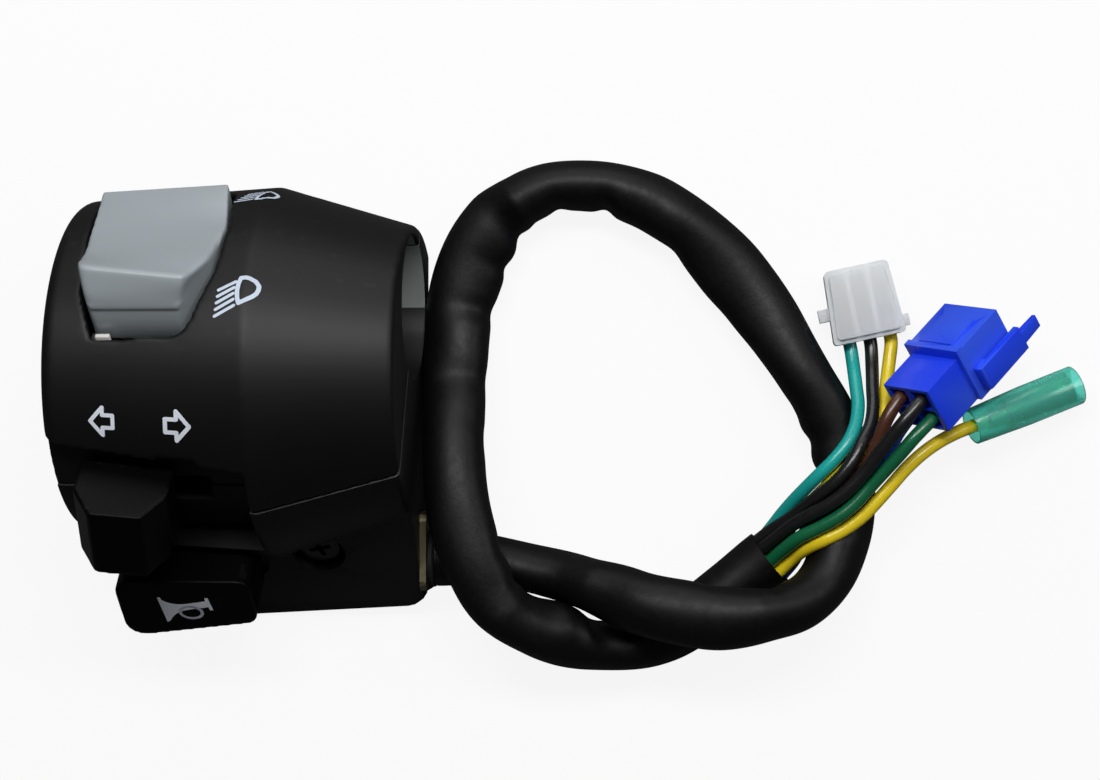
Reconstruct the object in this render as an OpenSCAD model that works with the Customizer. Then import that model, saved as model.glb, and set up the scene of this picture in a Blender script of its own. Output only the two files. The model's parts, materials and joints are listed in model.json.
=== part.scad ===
// Handlebar switch cluster: a dimmer rocker, a turn-signal slider and a horn button in a two-part casing
// that clamps a handlebar, with its sleeved harness and connectors laid out beside it.
// Millimetres. X runs along the handlebar, Z points out of the casing's face, and the origin is on the
// bar's axis at the middle of the casing.

/* [Handlebar] */
// Diameter of the handlebar
bar_d = 22.2; // [21:0.1:22.8]
// Radial play between the bar and its saddle
bar_play = 0.1; // [0.05:0.05:0.2]
// Wall of the pipe that parts the bar from the switches
saddle_wall = 1.4; // [1:0.1:1.6]

/* [Casing] */
// Length of the casing along the bar
case_l = 52; // [50:1:58]
// Distance of the casing's round axis below the bar
case_drop = 10; // [9.5:0.5:11]
// Distance of the casing's round axis behind the bar
case_setback = 3; // [2.5:0.5:3.5]
// Radius of the casing at its left end
end_r = 27; // [26.5:0.5:28]
// Radius of the casing at its crease
crease_r = 28.9; // [28.5:0.1:30]
// Radius of the casing at its right end
collar_r = 23; // [22.8:0.1:25]
// Place of the crease along the bar
crease_x = 5; // [4.6:0.2:8]
// Rounding of the left rim
rim_r = 2; // [1:0.5:3]
// Rounding of the right rim
collar_rim_r = 1; // [0.5:0.25:1.5]
// Distance of the flat back behind the bar's axis
case_back = 15; // [14.6:0.2:16]
// Wall of the casing
case_wall = 2.4; // [2:0.1:2.8]
// Thickness of the left end wall
left_wall = 5; // [4.6:0.2:5.2]
// Thickness of the right end wall
right_wall = 8; // [6:0.5:9]
// Tilt of the parting plane, from the back at the top to the front at the bottom
parting_tilt = 28; // [26:1:30]
// Gap between the two shells
seam_gap = 0.15; // [0.1:0.05:0.3]

/* [Chin] */
// Left side of the chin along the bar
chin_left = -16.5; // [-17:0.5:-15]
// Lowest edge of the chin below the bar, at its right end
chin_low = 47.2; // [46.8:0.2:48.5]
// Extra depth of the chin at its left end
chin_fall = 2.8; // [2:0.2:3.6]
// Distance of the chin's slanted face from the casing's round axis
chin_face = 20.5; // [20:0.25:21.5]
// Rounding of the chin's corners
chin_r = 3; // [2:0.5:4]

/* [Dimmer] */
// Angle of the dimmer above the casing's front
dimmer_angle = 42; // [41:0.5:43]
// Throw of the rocker
dimmer_throw = 16; // [12:1:17]
// Height of the rocker's pivot above the bar's pipe
pivot_lift = 3.02; // [2.72:0.1:3.42]
// Radius of the rocker's lower wall about the pivot
rocker_front_r = 14.2; // [13.6:0.1:14.6]
// Radius of the rocker's upper wall about the pivot
rocker_back_r = 13.1; // [12.8:0.1:13.6]
// Height of the rocker's ridge above the pivot
ridge_h = 8.8; // [7.5:0.1:9.5]
// Height of the rocker's upper edge above the pivot
upper_edge_h = 2.4; // [2:0.1:3.2]
// Hollow of the rocker's thumb face
thumb_sag = 1.3; // [0.6:0.1:1.8]
// Width of the rocker at its upper edge
rocker_top_w = 20; // [18:0.5:20.6]
// Width of the rocker at its ridge
rocker_ridge_w = 13; // [11:0.5:15]
// Diameter of the pivot pin
pin_d = 2; // [1.6:0.1:2.2]
// Running clearance round the pivot pin
pin_clear = 0.06; // [0.03:0.01:0.1]
// Gap between the rocker and its window
window_gap = 0.5; // [0.4:0.1:0.8]

/* [Turn switch] */
// Angle of the turn switch below the casing's front
turn_angle = -46; // [-47:0.5:-45]
// Travel of the turn knob from left to right
turn_travel = 8; // [6:0.5:9]
// Distance of the knob's middle from the casing's left end, at the left
knob_inset = 11.3; // [11:0.1:11.8]
// Width of the knob's outer face
knob_face_w = 7.8; // [6:0.2:9]
// Width of the knob at its foot
knob_foot_w = 14; // [12:0.5:15]
// Height of the knob across its slide
knob_h = 13.4; // [12:0.2:14]
// Distance of the knob's outer face from the casing's axis
knob_out = 35.5; // [34:0.5:37]
// Depth of the knob's side chamfers
knob_chamfer = 4.6; // [3:0.2:6]
// Skew of the knob and of the recess's upper edge
turn_skew = 7; // [4:1:9]
// Radius of the recess's floor
floor_r = 24.4; // [24.2:0.1:24.8]
// Wall under the recess's floor
floor_wall = 2.2; // [1.8:0.1:2.4]
// Right end of the recess along the bar
recess_right = 4; // [3.6:0.2:4.4]
// Gap between the turn switch's sliding faces
slide_gap = 0.3; // [0.2:0.05:0.4]

/* [Horn] */
// Place of the horn button's middle along the bar
horn_x = -9; // [-9.6:0.2:-8.4]
// Width of the horn button
horn_w = 21.4; // [19:0.2:22]
// Height of the horn button at its left end
horn_tall = 13.6; // [12.4:0.2:14.4]
// Height of the horn button at its right end
horn_short = 9.8; // [9.4:0.2:12]
// Distance of the horn's face from the casing's axis
horn_out = 30.8; // [30.2:0.2:31.6]
// Travel of the horn button
horn_travel = 2; // [1:0.25:2.5]
// Wall of the horn button
horn_wall = 1.6; // [1.2:0.1:1.8]
// Sliding gap round the horn button's collar
horn_gap = 0.35; // [0.25:0.05:0.5]
// Outer diameter of the horn spring
spring_d = 5.8; // [5:0.2:6]
// Wire of the horn spring
spring_wire = 0.7; // [0.5:0.1:0.9]
// Turns of the horn spring
spring_turns = 5; // [4:1:6]

/* [Screws] */
// Shank diameter of the case screws
screw_d = 3; // [2.6:0.1:3.2]
// Head diameter of the case screws
screw_head_d = 5.6; // [5:0.2:6]
// Head height of the case screws
screw_head_h = 2.2; // [1.6:0.2:2.6]
// Head diameter of the carrier screw
carrier_head_d = 6.6; // [6:0.2:7]
// Counterbore diameter of the carrier screw
carrier_bore_d = 8.4; // [7.6:0.2:9]

/* [Harness] */
// Outer diameter of the harness sleeve
sleeve_d = 9.6; // [9:0.2:9.6]
// Diameter of each wire
wire_d = 2.1; // [1.8:0.1:2.2]
// Diameter of the grommet's neck
grommet_d = 6.6; // [6:0.2:7]
// Thickness of the retainer plate
plate_t = 1; // [0.6:0.1:1.2]

/* [Connectors] */
// Width of the white connector
white_w = 10.4; // [10:0.2:11]
// Length of the white connector
white_l = 11.6; // [11:0.2:13]
// Height of the white connector
white_h = 7; // [6.6:0.2:7.6]
// Width of the blue connector
blue_w = 10.8; // [10.4:0.2:11.2]
// Length of the blue connector
blue_l = 17.6; // [17:0.2:18.4]
// Height of the blue connector
blue_h = 9.4; // [9:0.2:9.8]
// Outer diameter of the bullet sleeve
bullet_d = 6.2; // [6.1:0.1:6.4]
// Length of the bullet sleeve
bullet_l = 18.4; // [17:0.2:19]
// Bore of the bullet terminal
bullet_bore = 4; // [3.8:0.1:4.2]

/* [Hidden] */
$fn = 48;
big = 200;
eps = 0.01;
bar_r = bar_d / 2 + bar_play;
saddle_r = bar_r + saddle_wall;
case_x0 = -case_l / 2;
case_x1 = case_l / 2;
cavity_x0 = case_x0 + left_wall;
cavity_x1 = case_x1 - right_wall;
knob_x = case_x0 + knob_inset;
grommet_out = 2.2;
table_z = -case_back;
seat_gap = 0.2;

// Points of the harness sleeve's route
sleeve_route = [
    [case_x1 + grommet_out, -39.5, -10.2],
    [33, -39.5, -10.2], [38, -40, -10.2], [43.6, -41.2, -10], [49.3, -42.4, -8.6],
    [55.1, -43.8, -4.8], [61.7, -45.8, -1], [68.2, -47, 0.5], [74.3, -47.6, 0.4], [80, -47, -1],
    [85.8, -45.4, -3.5], [90.3, -41.6, -7], [92.6, -36, -9.5], [93, -30, -10.2], [92.1, -24, -10.2],
    [89.8, -17, -10.2], [86.6, -11.2, -10.2], [83.7, -6.5, -10.2], [80.7, -1.8, -10.2],
    [77.2, 2.9, -10.2], [73.4, 7.6, -10.2], [68.9, 12.1, -10.2], [64.8, 15.2, -10.2],
    [60.4, 17.5, -10.2], [54, 19.3, -10.2], [47.7, 19.4, -10.2], [42.6, 17.8, -10.2],
    [38.6, 14.8, -10.2], [35.5, 11, -10.2], [33.3, 6.3, -10.2], [31.8, 0.7, -10], [31.4, -6.5, -8.6],
    [31.4, -14.4, -6.2], [31.7, -22.2, -3.2], [32.3, -28.3, -1.2], [33.6, -34.4, -0.1],
    [35.7, -40.2, 0], [38.7, -45.8, -1], [42.6, -49.7, -3.4], [47.5, -52.2, -6.4], [53.2, -53.2, -9.2],
    [59.6, -52.8, -10.2], [64.8, -51, -10.2], [69.6, -48, -10.2], [74, -44.6, -10.2],
    [78.2, -41.2, -10.2], [79.4, -40.25, -10.2]
];

// Points of the wires' routes, from the sleeve's end to the connectors
teal_route = [
    [78, -37.8, -11.9], [79, -37, -11.9], [81, -34.5, -11], [82.7, -32.2, -9.3], [84.4, -30.1, -7.4],
    [86.2, -28.1, -5.5], [88.2, -26, -4], [90.5, -23.7, -3.6], [92.6, -21.1, -4], [93.9, -18.4, -5.2],
    [94.4, -15.4, -6.7], [94.2, -12.7, -8.5], [93.9, -9.9, -10.3], [93.5, -6.8, -11.4],
    [93.1, -4.9, -11.5]
];
black_upper_route = [
    [77.7, -37.5, -9.6], [78.7, -36.6, -9.6], [81.2, -34.6, -8.3], [83.8, -32.8, -6.7],
    [86.2, -30.8, -5], [88.5, -28.9, -3.2], [91, -26.7, -2], [93.2, -24, -1.9], [94.8, -21, -2.8],
    [96.2, -18.2, -4.4], [96.7, -15.3, -6.3], [96.7, -12.5, -8.4], [96.7, -9.5, -10.3],
    [96.6, -6.2, -11.4], [96.3, -4.2, -11.5]
];
yellow_inner_route = [
    [79.2, -39.4, -13.4], [80.2, -38.6, -13.4], [82.4, -36.4, -12], [84.1, -34.2, -10.3],
    [85.8, -31.8, -8.6], [87.7, -29.7, -6.7], [89.7, -27.6, -4.9], [92, -25.4, -4.2],
    [94.4, -23.1, -4.5], [96.5, -20.6, -5.5], [97.8, -17.9, -6.9], [98.6, -15, -8.4],
    [98.9, -11.9, -9.8], [99.3, -8.8, -10.8], [99.7, -5.5, -11.5], [99.4, -3.5, -11.5]
];
black_lower_route = [
    [78.5, -38.4, -7.6], [79.5, -37.6, -7.6], [81.9, -35.6, -6.1], [84.3, -33.6, -4.4],
    [87, -31.9, -2.9], [89.8, -30.3, -1.7], [92.5, -28.2, -0.9], [94.9, -25.6, -0.3],
    [96.9, -22.9, 0.5], [98.9, -20.2, 1.5], [101, -17.5, 2.1], [103.2, -14.8, 1.5], [104.5, -13.5, 0.6]
];
brown_route = [
    [80.8, -41.4, -13], [81.8, -40.6, -13], [84.1, -38.2, -11.7], [85.9, -35.7, -9.9],
    [87.2, -33.4, -7.5], [89, -31.2, -5.4], [91.6, -29, -4.3], [94, -26.6, -3.5], [95.9, -23.7, -2.6],
    [97.3, -20.5, -1.7], [98.5, -17.3, -1.2], [100.3, -14.3, -1.8], [101.6, -13, -2.7]
];
green_route = [
    [79.9, -40.2, -6.9], [80.9, -39.4, -6.9], [83, -37.4, -5.2], [85.3, -35.5, -3.5], [88.2, -34, -2.5],
    [91.1, -32.3, -1.8], [93.7, -30.2, -1.6], [96, -27.6, -1.5], [98.2, -25.1, -0.9],
    [100.4, -22.6, -0.1], [102.6, -20, 0.3], [104.9, -17.6, -0.4], [106.1, -16.3, -1.3]
];
blue_route = [
    [81.7, -42.5, -10.8], [82.7, -41.7, -10.8], [84.6, -39.3, -9.6], [85.8, -36.7, -7.7],
    [87.6, -34.8, -5.6], [90.2, -32.9, -4.4], [92.9, -30.9, -4], [95.3, -28.6, -4.1],
    [97.2, -25.8, -3.8], [98.7, -22.8, -3.2], [100.1, -19.8, -3], [102, -17.1, -3.7],
    [103.2, -15.8, -4.5]
];
yellow_outer_route = [
    [81.2, -41.9, -8], [82.2, -41.1, -8], [84.4, -38.9, -6.7], [86.5, -37.2, -4.8], [89.2, -35.8, -3.5],
    [92.2, -34.2, -3.4], [94.9, -32.2, -3.3], [97.2, -29.8, -3.2], [99.4, -27.3, -3.3],
    [101.6, -24.8, -3.5], [104.1, -22.5, -3.9], [106.7, -20.7, -4.7], [109.5, -19.3, -5.9],
    [112.4, -18.2, -7.1], [114.2, -17.5, -7.7]
];

// Unit vector along v
function unit(v) = v / norm(v);

// Point between two others
function between(a, b, t) = a + (b - a) * t;

// Arc points about a centre
function arc(c, r, from, to, n) =
    [for (i = [0:n]) c + r * [cos(between(from, to, i / n)), sin(between(from, to, i / n))]];

// Angle brought into a half turn either way
function half_turn(a) = a > 180 ? a - 360 : a < -180 ? a + 360 : a;

// Corner of an outline as an arc of radius r
function corner(before, at, after, r, n) =
    let (
        a = unit(before - at),
        b = unit(after - at),
        half = acos(a * b) / 2,
        c = at + unit(a + b) * r / sin(half),
        from = at + a * r / tan(half) - c,
        to = at + b * r / tan(half) - c,
        start = atan2(from[1], from[0]),
        sweep = half_turn(atan2(to[1], to[0]) - start)
    )
    r == 0 ? [at] : arc(c, r, start, start + sweep, n);

// Outline with each corner rounded by its own radius
function rounded(points, radii, n = 4) =
    let (last = len(points) - 1)
    [for (i = [0:last])
        each corner(points[i == 0 ? last : i - 1], points[i], points[i == last ? 0 : i + 1], radii[i], n)];

// Radius of the casing at a place along the bar
function case_r(x) =
    x < crease_x
    ? between(end_r, crease_r, (x - case_x0) / (crease_x - case_x0))
    : between(crease_r, collar_r, (x - crease_x) / (case_x1 - crease_x));

// Extrudes an outline of (Y, Z) points along X
module along_x(x0, x1) {
    translate([x0, 0, 0]) rotate([90, 0, 90]) linear_extrude(x1 - x0) children();
}

// Round bar along X
module rod_x(x0, x1, r) {
    translate([x0, 0, 0]) rotate([0, 90, 0]) cylinder(h = x1 - x0, r = r);
}

// Frame on the casing's round axis, with Z radial at an angle above the front and Y upward round the casing
module on_case(angle) {
    translate([0, -case_drop, -case_setback]) rotate([-angle, 0, 0]) children();
}

// Frame of the parting plane, with Z through the front shell
module on_parting() {
    rotate([-parting_tilt, 0, 0]) children();
}

// Turns a profile of (radius, place along the bar) points about the casing's axis
module turned(profile) {
    translate([0, -case_drop, -case_setback])
        rotate([0, 90, 0])
        rotate_extrude($fn = 144)
        polygon(profile);
}

// Round casing with its flat back
module case_form() {
    difference() {
        turned(concat(
            [[0, case_x0]],
            arc([end_r - rim_r, case_x0 + rim_r], rim_r, -90, 0, 6),
            [[crease_r, crease_x]],
            arc([collar_r - collar_rim_r, case_x1 - collar_rim_r], collar_rim_r, 0, 90, 4),
            [[0, case_x1]]
        ));
        translate([-big / 2, -big / 2, table_z - big]) cube(big);
    }
}

// Half space in front of the parting plane
module front_half() {
    on_parting() translate([-big / 2, -big / 2, seam_gap / 2]) cube(big);
}

// Half space behind the parting plane
module rear_half() {
    on_parting() translate([-big / 2, -big / 2, -seam_gap / 2 - big]) cube(big);
}

// Case screws: place along the bar, place up the parting plane, depth of the head behind it, reach in front
screw_seats = [[8.5, 15.2, 4.2, 6], [13.5, -21, 9, 9]];
boss_r = screw_d / 2 + 1.9;

// Places something at each case screw, in the parting frame
module at_case_screws() {
    for (s = screw_seats) {
        on_parting() translate([s[0], s[1], 0]) {
            $head = s[2];
            $reach = s[3];
            children();
        }
    }
}

// Outline of the turn switch's recess: (X, up) points, grown by d
recess_low = -12.5;
recess_high = 8;
function recess_outline(d) =
    let (rise = (recess_right - case_x0) * tan(turn_skew))
    [
        [case_x0 - 5, recess_low - d],
        [recess_right + d, recess_low - d],
        [recess_right + d, recess_high - rise * 0.3 + d],
        [case_x0 - 5, recess_high + rise * 0.8 + d]
    ];

// Space above the recess's floor
module recess_cut() {
    on_case(turn_angle) difference() {
        linear_extrude(big / 2) polygon(recess_outline(0));
        rod_x(case_x0 - 10, case_x1, floor_r);
    }
}

// Wall that backs the recess
module recess_backing() {
    on_case(turn_angle) difference() {
        linear_extrude(big / 2) polygon(recess_outline(floor_wall));
        rod_x(case_x0 - 10, case_x1, floor_r - floor_wall);
    }
}

// Rib that carries the right end of the dimmer's pin
rib_t = 1.5;
rib_x = window_gap + 0.2;
rib_low = 7;
rib_span = 24;

// Hollow of the casing, round the bar's pipe, the bosses, the rib and the recess
module case_cavity() {
    difference() {
        turned([
            [0, cavity_x0],
            [case_r(cavity_x0) - case_wall, cavity_x0],
            [crease_r - case_wall, crease_x],
            [case_r(cavity_x1) - case_wall, cavity_x1],
            [0, cavity_x1]
        ]);
        rod_x(case_x0, case_x1, saddle_r);
        translate([case_x0, -4, table_z]) cube([case_l, 8, case_back]);
        at_case_screws() translate([0, 0, -big / 2]) cylinder(h = big, r = boss_r);
        on_case(dimmer_angle) translate([rib_x, -rib_low, 0]) cube([rib_t, rib_span, 40]);
        recess_backing();
        translate([-big / 2, -big / 2, table_z + case_wall - big]) cube(big);
    }
}

// Bar's bore through both shells
module bar_bore() {
    rod_x(case_x0 - 1, case_x1 + 1, bar_r);
}

pivot_u = 1;
bar_u = case_drop * cos(dimmer_angle) - case_setback * sin(dimmer_angle);
bar_w = case_drop * sin(dimmer_angle) + case_setback * cos(dimmer_angle);
pivot_w = bar_w + sqrt(pow(saddle_r + pivot_lift, 2) - pow(pivot_u - bar_u, 2));
rocker_right = 0;
rocker_low = -13.6;
rocker_belly = 2.9;
ridge_u = pivot_u - sqrt(pow(rocker_front_r, 2) - pow(ridge_h, 2));
upper_u = pivot_u + sqrt(pow(rocker_back_r, 2) - pow(upper_edge_h, 2));

// Outline of the rocker seen from outside: (X, up) points, grown by d
function rocker_outline(d, low_left = 3) =
    rounded(
        [
            [rocker_right - rocker_top_w - 1.4 - d, 15 + d],
            [rocker_right - 1.4 + d, 15 + d],
            [rocker_right + d, 4],
            [rocker_right - 0.6 + d, -5],
            [rocker_right - 4.5 + d, rocker_low - 2 * d],
            [rocker_right - 4.5 - rocker_ridge_w - d, rocker_low - 2 * d],
            [rocker_right - 6.6 - rocker_ridge_w - d, -8]
        ],
        [1.5, 1.5, 6, 5, 3.4, low_left, 4]
    );

// Side view of the rocker: (up, out) points
band_angle = 14;
band_step = 0.3;
function rocker_side() =
    let (
        pivot = [pivot_u, pivot_w],
        ridge = [ridge_u, pivot_w + ridge_h],
        edge = [upper_u, pivot_w + upper_edge_h],
        start = atan2(ridge_h, ridge_u - pivot_u)
    )
    concat(
        [for (i = [0:10]) between(edge, ridge, i / 10) - [0, thumb_sag * 4 * i / 10 * (1 - i / 10)]],
        arc(pivot, rocker_front_r, start, 180 - band_angle, 6),
        arc(pivot, rocker_front_r - band_step, 180 - band_angle, 192, 6),
        [
            [pivot_u - 10, pivot_w - rocker_belly],
            [pivot_u - 3.4, pivot_w - rocker_belly],
            [pivot_u, pivot_w - 1.4]
        ],
        [[upper_u - 0.3, pivot_w - 1.4]]
    );

// Rocker before its holes
rocker_boss_r = 2.3;
module rocker_form() {
    on_case(dimmer_angle) intersection() {
        union() {
            along_x(case_x0, rib_x) polygon(rocker_side());
            translate([0, pivot_u, pivot_w]) rod_x(case_x0, rib_x, rocker_boss_r);
        }
        translate([0, 0, pivot_w - 6]) linear_extrude(40) polygon(rocker_outline(0));
    }
}

// Window of the rocker through the front shell
module dimmer_window() {
    on_case(dimmer_angle) {
        difference() {
            translate([0, 0, pivot_w - 6]) linear_extrude(40) polygon(rocker_outline(window_gap, 1.2));
            translate([case_x0, -big / 2, 0]) cube([big, big / 2 + pivot_u - 3, pivot_w - 6]);
        }
    }
}

// Pivot pin's axis
module pin_axis(x0, x1, r) {
    on_case(dimmer_angle) translate([0, pivot_u, pivot_w]) rod_x(x0, x1, r);
}
pin_x0 = cavity_x0 - 3;
pin_x1 = rib_x + rib_t;

// Slot of the turn knob's stem through the floor
stem_l = 8;
stem_h = 4.4;
module stem_slot() {
    on_case(turn_angle)
        translate([knob_x - stem_l / 2 - slide_gap, -stem_h / 2 - slide_gap, floor_r - floor_wall - 4])
        cube([stem_l + turn_travel + 2 * slide_gap, stem_h + 2 * slide_gap, floor_wall + 8]);
}

// Frame of the horn, with its face at Z = 0
horn_u = -21;
module on_horn() {
    on_case(turn_angle) translate([horn_x, horn_u, horn_out]) children();
}

// Outline of the horn button: (X, up) points, drawn in by d
horn_top = 6.5;
function horn_outline(d) =
    let (
        half = horn_w / 2 - d,
        slope = (horn_tall - horn_short) / horn_w,
        lift = d * sqrt(1 + slope * slope),
        mid = horn_top - (horn_tall + horn_short) / 2
    )
    rounded(
        [
            [-half, horn_top - d],
            [-half, mid - slope * half + lift],
            [half, mid + slope * half + lift],
            [half, horn_top - d]
        ],
        [3 - d * 0.5, 3 - d * 0.5, 2 - d * 0.5, 2 - d * 0.5]
    );

// Frame of the horn's spring pocket
module on_pocket() {
    on_horn() translate([-4, 0.3, 0]) children();
}

// Heights inside the horn, down from its face
horn_plate = 2.4;
horn_skirt = 9;
horn_stem = 9.4;
horn_collar_top = horn_plate + horn_travel + 0.5;
horn_floor = 14.2;
pocket_r = spring_d / 2 + 0.4;
blade_t = 0.5;

// Chin under the round casing
module chin() {
    intersection() {
        translate([0, 0, table_z]) linear_extrude(case_back + 8.5)
            polygon(rounded(
                [
                    [chin_left, -18],
                    [chin_left, -chin_low - chin_fall],
                    [case_x1, -chin_low],
                    [case_x1, -18]
                ],
                [0, chin_r, chin_r, 0]
            ));
        on_case(turn_angle) translate([-big / 2, -big / 2, chin_face - big]) cube(big);
    }
}

// Cable outlet in the chin
outlet_y = -39.5;
outlet_z = sleeve_route[0][2];
outlet_pocket = 9;
duct_l = 6.5;
duct_rise = 14;
duct_w = 4.6;
module outlet_bore(r) {
    translate([0, outlet_y, outlet_z]) rod_x(outlet_pocket, case_x1 + 1, r);
}

// Place of the carrier screw on the chin's face
carrier_x = 10.5;
carrier_u = -19.6;
module on_carrier_screw() {
    on_case(turn_angle) translate([carrier_x, carrier_u, chin_face]) children();
}
carrier_sink = 2.6;
carrier_reach = 10;

module front_shell() {
    color("#1d1d1f") difference() {
        intersection() {
            case_form();
            front_half();
        }
        case_cavity();
        bar_bore();
        dimmer_window();
        recess_cut();
        stem_slot();
        pin_axis(pin_x0, pin_x1 + eps, pin_d / 2);
        at_case_screws() translate([0, 0, -1]) cylinder(h = $reach + 1.5, r = screw_d / 2);
        on_case(turn_angle) translate([knob_x + 5.6, recess_high - 2.2, floor_r]) cube([6, 3, 12]);
    }
}

module rear_shell() {
    color("#141415") difference() {
        union() {
            difference() {
                union() {
                    intersection() {
                        case_form();
                        rear_half();
                    }
                    chin();
                }
                on_horn() translate([0, 0, -horn_skirt - horn_travel - 0.4])
                    linear_extrude(big / 2)
                    polygon(horn_outline(-horn_gap));
            }
            on_horn() translate([0, 0, -horn_floor - 4])
                linear_extrude(horn_floor + 4 - horn_collar_top)
                polygon(horn_outline(horn_wall + horn_gap));
        }
        case_cavity();
        bar_bore();
        recess_cut();
        stem_slot();
        on_pocket() translate([0, 0, -horn_floor]) cylinder(h = horn_floor, r = pocket_r);
        outlet_bore(grommet_d / 2 + 0.1);
        translate([outlet_pocket - duct_l + 0.5, outlet_y - 2.6, outlet_z - 2.6])
            cube([duct_l, duct_rise, duct_w]);
        at_case_screws() {
            translate([0, 0, -$head - 1]) cylinder(h = $head + 2, r = screw_d / 2 + 0.2);
            translate([0, 0, -$head - big]) cylinder(h = big, r = screw_head_d / 2 + 0.3);
        }
        on_carrier_screw() {
            translate([0, 0, -carrier_sink]) cylinder(h = 20, r = carrier_bore_d / 2);
            translate([0, 0, -carrier_reach - 1]) cylinder(h = carrier_reach + 2, r = screw_d / 2);
        }
    }
}

module case_screws() {
    color("#8d9094") at_case_screws() {
        translate([0, 0, -$head - screw_head_h]) cylinder(h = screw_head_h, r = screw_head_d / 2);
        translate([0, 0, -$head - eps]) cylinder(h = $head + $reach, r = screw_d / 2 - 0.02);
    }
}

module carrier_screw() {
    color("#8d9094") on_carrier_screw() {
        translate([0, 0, -carrier_sink]) cylinder(h = 1.6, r = carrier_head_d / 2);
        translate([0, 0, -carrier_reach])
            cylinder(h = carrier_reach - carrier_sink + eps, r = screw_d / 2 - 0.02);
    }
}

module dimmer_rocker() {
    color("#97a0a5") difference() {
        rocker_form();
        pin_axis(case_x0, case_x1, pin_d / 2 + pin_clear);
        rod_x(case_x0, case_x1, saddle_r + 0.5);
    }
}

module dimmer_pin() {
    color("#b9bcc0") pin_axis(pin_x0, pin_x1, pin_d / 2 - 0.01);
}

// White base under the rocker's lower end
base_top = pivot_w - 7.5;
base_t = 4;
base_low = -17;
base_span = 10.2;
lug_x = rocker_right - 4.2 - rocker_ridge_w - window_gap + 0.3;
lug_low = rocker_low - 2 * window_gap + 0.2;
lug_high = pivot_u - rocker_front_r - 0.45;
module dimmer_base() {
    color("#ecebe4") difference() {
        on_case(dimmer_angle) {
            translate([cavity_x0 + seat_gap, base_low, base_top - base_t])
                cube([rib_x - cavity_x0 - 2 * seat_gap, base_span, base_t]);
            translate([lug_x, lug_low, base_top - eps]) cube([2.2, lug_high - lug_low, 7]);
        }
        rod_x(case_x0, case_x1, saddle_r + seat_gap);
    }
}

// Fixed contact studs on the base
stud_xs = [-16.5, -4.5];
module dimmer_studs() {
    color("#c9a34a") on_case(dimmer_angle)
        for (x = stud_xs) translate([x, pivot_u - 10.6, base_top]) cylinder(h = 0.8, r = 1.3);
}

// Moving contact strip under the rocker
strip_t = 0.5;
strip_back = 10.8;
module dimmer_strip() {
    color("#c9a34a") on_case(dimmer_angle)
        translate([stud_xs[0] - 1.4, pivot_u - strip_back, pivot_w - rocker_belly - strip_t])
        cube([stud_xs[1] - stud_xs[0] + 2.8, 3, strip_t]);
}

// Steel leaf that holds the rocker at either end
module dimmer_leaf() {
    color("#b9bcc0") on_case(dimmer_angle)
        translate([-12.5, base_low + 3.1, base_top]) cube([4, 4, 0.4]);
}

module turn_knob() {
    color("#101011") on_case(turn_angle) translate([knob_x, 0, 0]) {
        rotate([0, 0, -turn_skew]) translate([0, -0.4, 0]) rotate([90, 0, 0])
            translate([0, 0, -knob_h / 2]) linear_extrude(knob_h)
            polygon(rounded(
                [
                    [-knob_foot_w / 2, floor_r + 0.5],
                    [knob_foot_w / 2, floor_r + 0.5],
                    [knob_foot_w / 2, knob_out - knob_chamfer],
                    [knob_face_w / 2, knob_out],
                    [-knob_face_w / 2, knob_out],
                    [-knob_foot_w / 2, knob_out - knob_chamfer]
                ],
                [0.4, 0.4, 1, 1, 1, 1]
            ));
        translate([-stem_l / 2, -stem_h / 2, slider_top - 4.2])
            cube([stem_l, stem_h, floor_r + 1 - slider_top + 4.2]);
        translate([stem_l / 2 - 1, -3.2, slider_top + 0.15]) cube([turn_travel + 2, 6.4, 0.7]);
    }
}

// Heights of the turn switch's inner pieces
slider_top = floor_r - floor_wall - 1.3;
slider_h = 6;
slider_l = 11;
slider_w = 11;
bridge_t = 0.6;
board_top = slider_top - slider_h - bridge_t - 0.7;
board_t = 1.8;
board_low = -9;
board_w = 14;
ball_r = 1.25;
ball_u = -3.9;

module turn_slider() {
    color("#e6e5df") on_case(turn_angle) translate([knob_x, 0, slider_top - slider_h]) difference() {
        translate([-slider_l / 2, -slider_w / 2, 0]) cube([slider_l, slider_w, slider_h]);
        translate([-stem_l / 2 - 0.05, -stem_h / 2 - 0.05, slider_h - 4.2])
            cube([stem_l + 0.1, stem_h + 0.1, 5]);
        translate([0, ball_u, 1]) cylinder(h = slider_h, r = ball_r + 0.1);
    }
}

module turn_ball() {
    color("#c6c9cc") on_case(turn_angle) translate([knob_x, ball_u, slider_top - 0.75]) sphere(r = ball_r);
}

module turn_bridge() {
    color("#b8743c") on_case(turn_angle) translate([knob_x - 4, -3, slider_top - slider_h - bridge_t])
        cube([8, 6, bridge_t]);
}

module turn_board() {
    color("#6b4a2b") on_case(turn_angle)
        translate([cavity_x0 + seat_gap, board_low, board_top - board_t])
        cube([recess_right - cavity_x0, board_w, board_t]);
}

// Contact rivets on the board, under the bridge's path
module turn_rivets() {
    color("#c9a34a") on_case(turn_angle)
        for (i = [0:2], u = [-1.8, 1.8])
        translate([knob_x + i * turn_travel / 2, u, board_top]) cylinder(h = 0.35, r = 1);
}

module horn_button() {
    color("#0e0e0f") on_horn() {
        translate([0, 0, -horn_plate]) linear_extrude(horn_plate) polygon(horn_outline(0));
        translate([0, 0, -horn_skirt]) linear_extrude(horn_skirt - horn_plate + eps) difference() {
            polygon(horn_outline(0));
            polygon(horn_outline(horn_wall));
        }
    }
    color("#0e0e0f") on_pocket() translate([0, 0, -horn_stem])
        cylinder(h = horn_stem - horn_plate + eps, r = 1.5);
}

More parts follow.
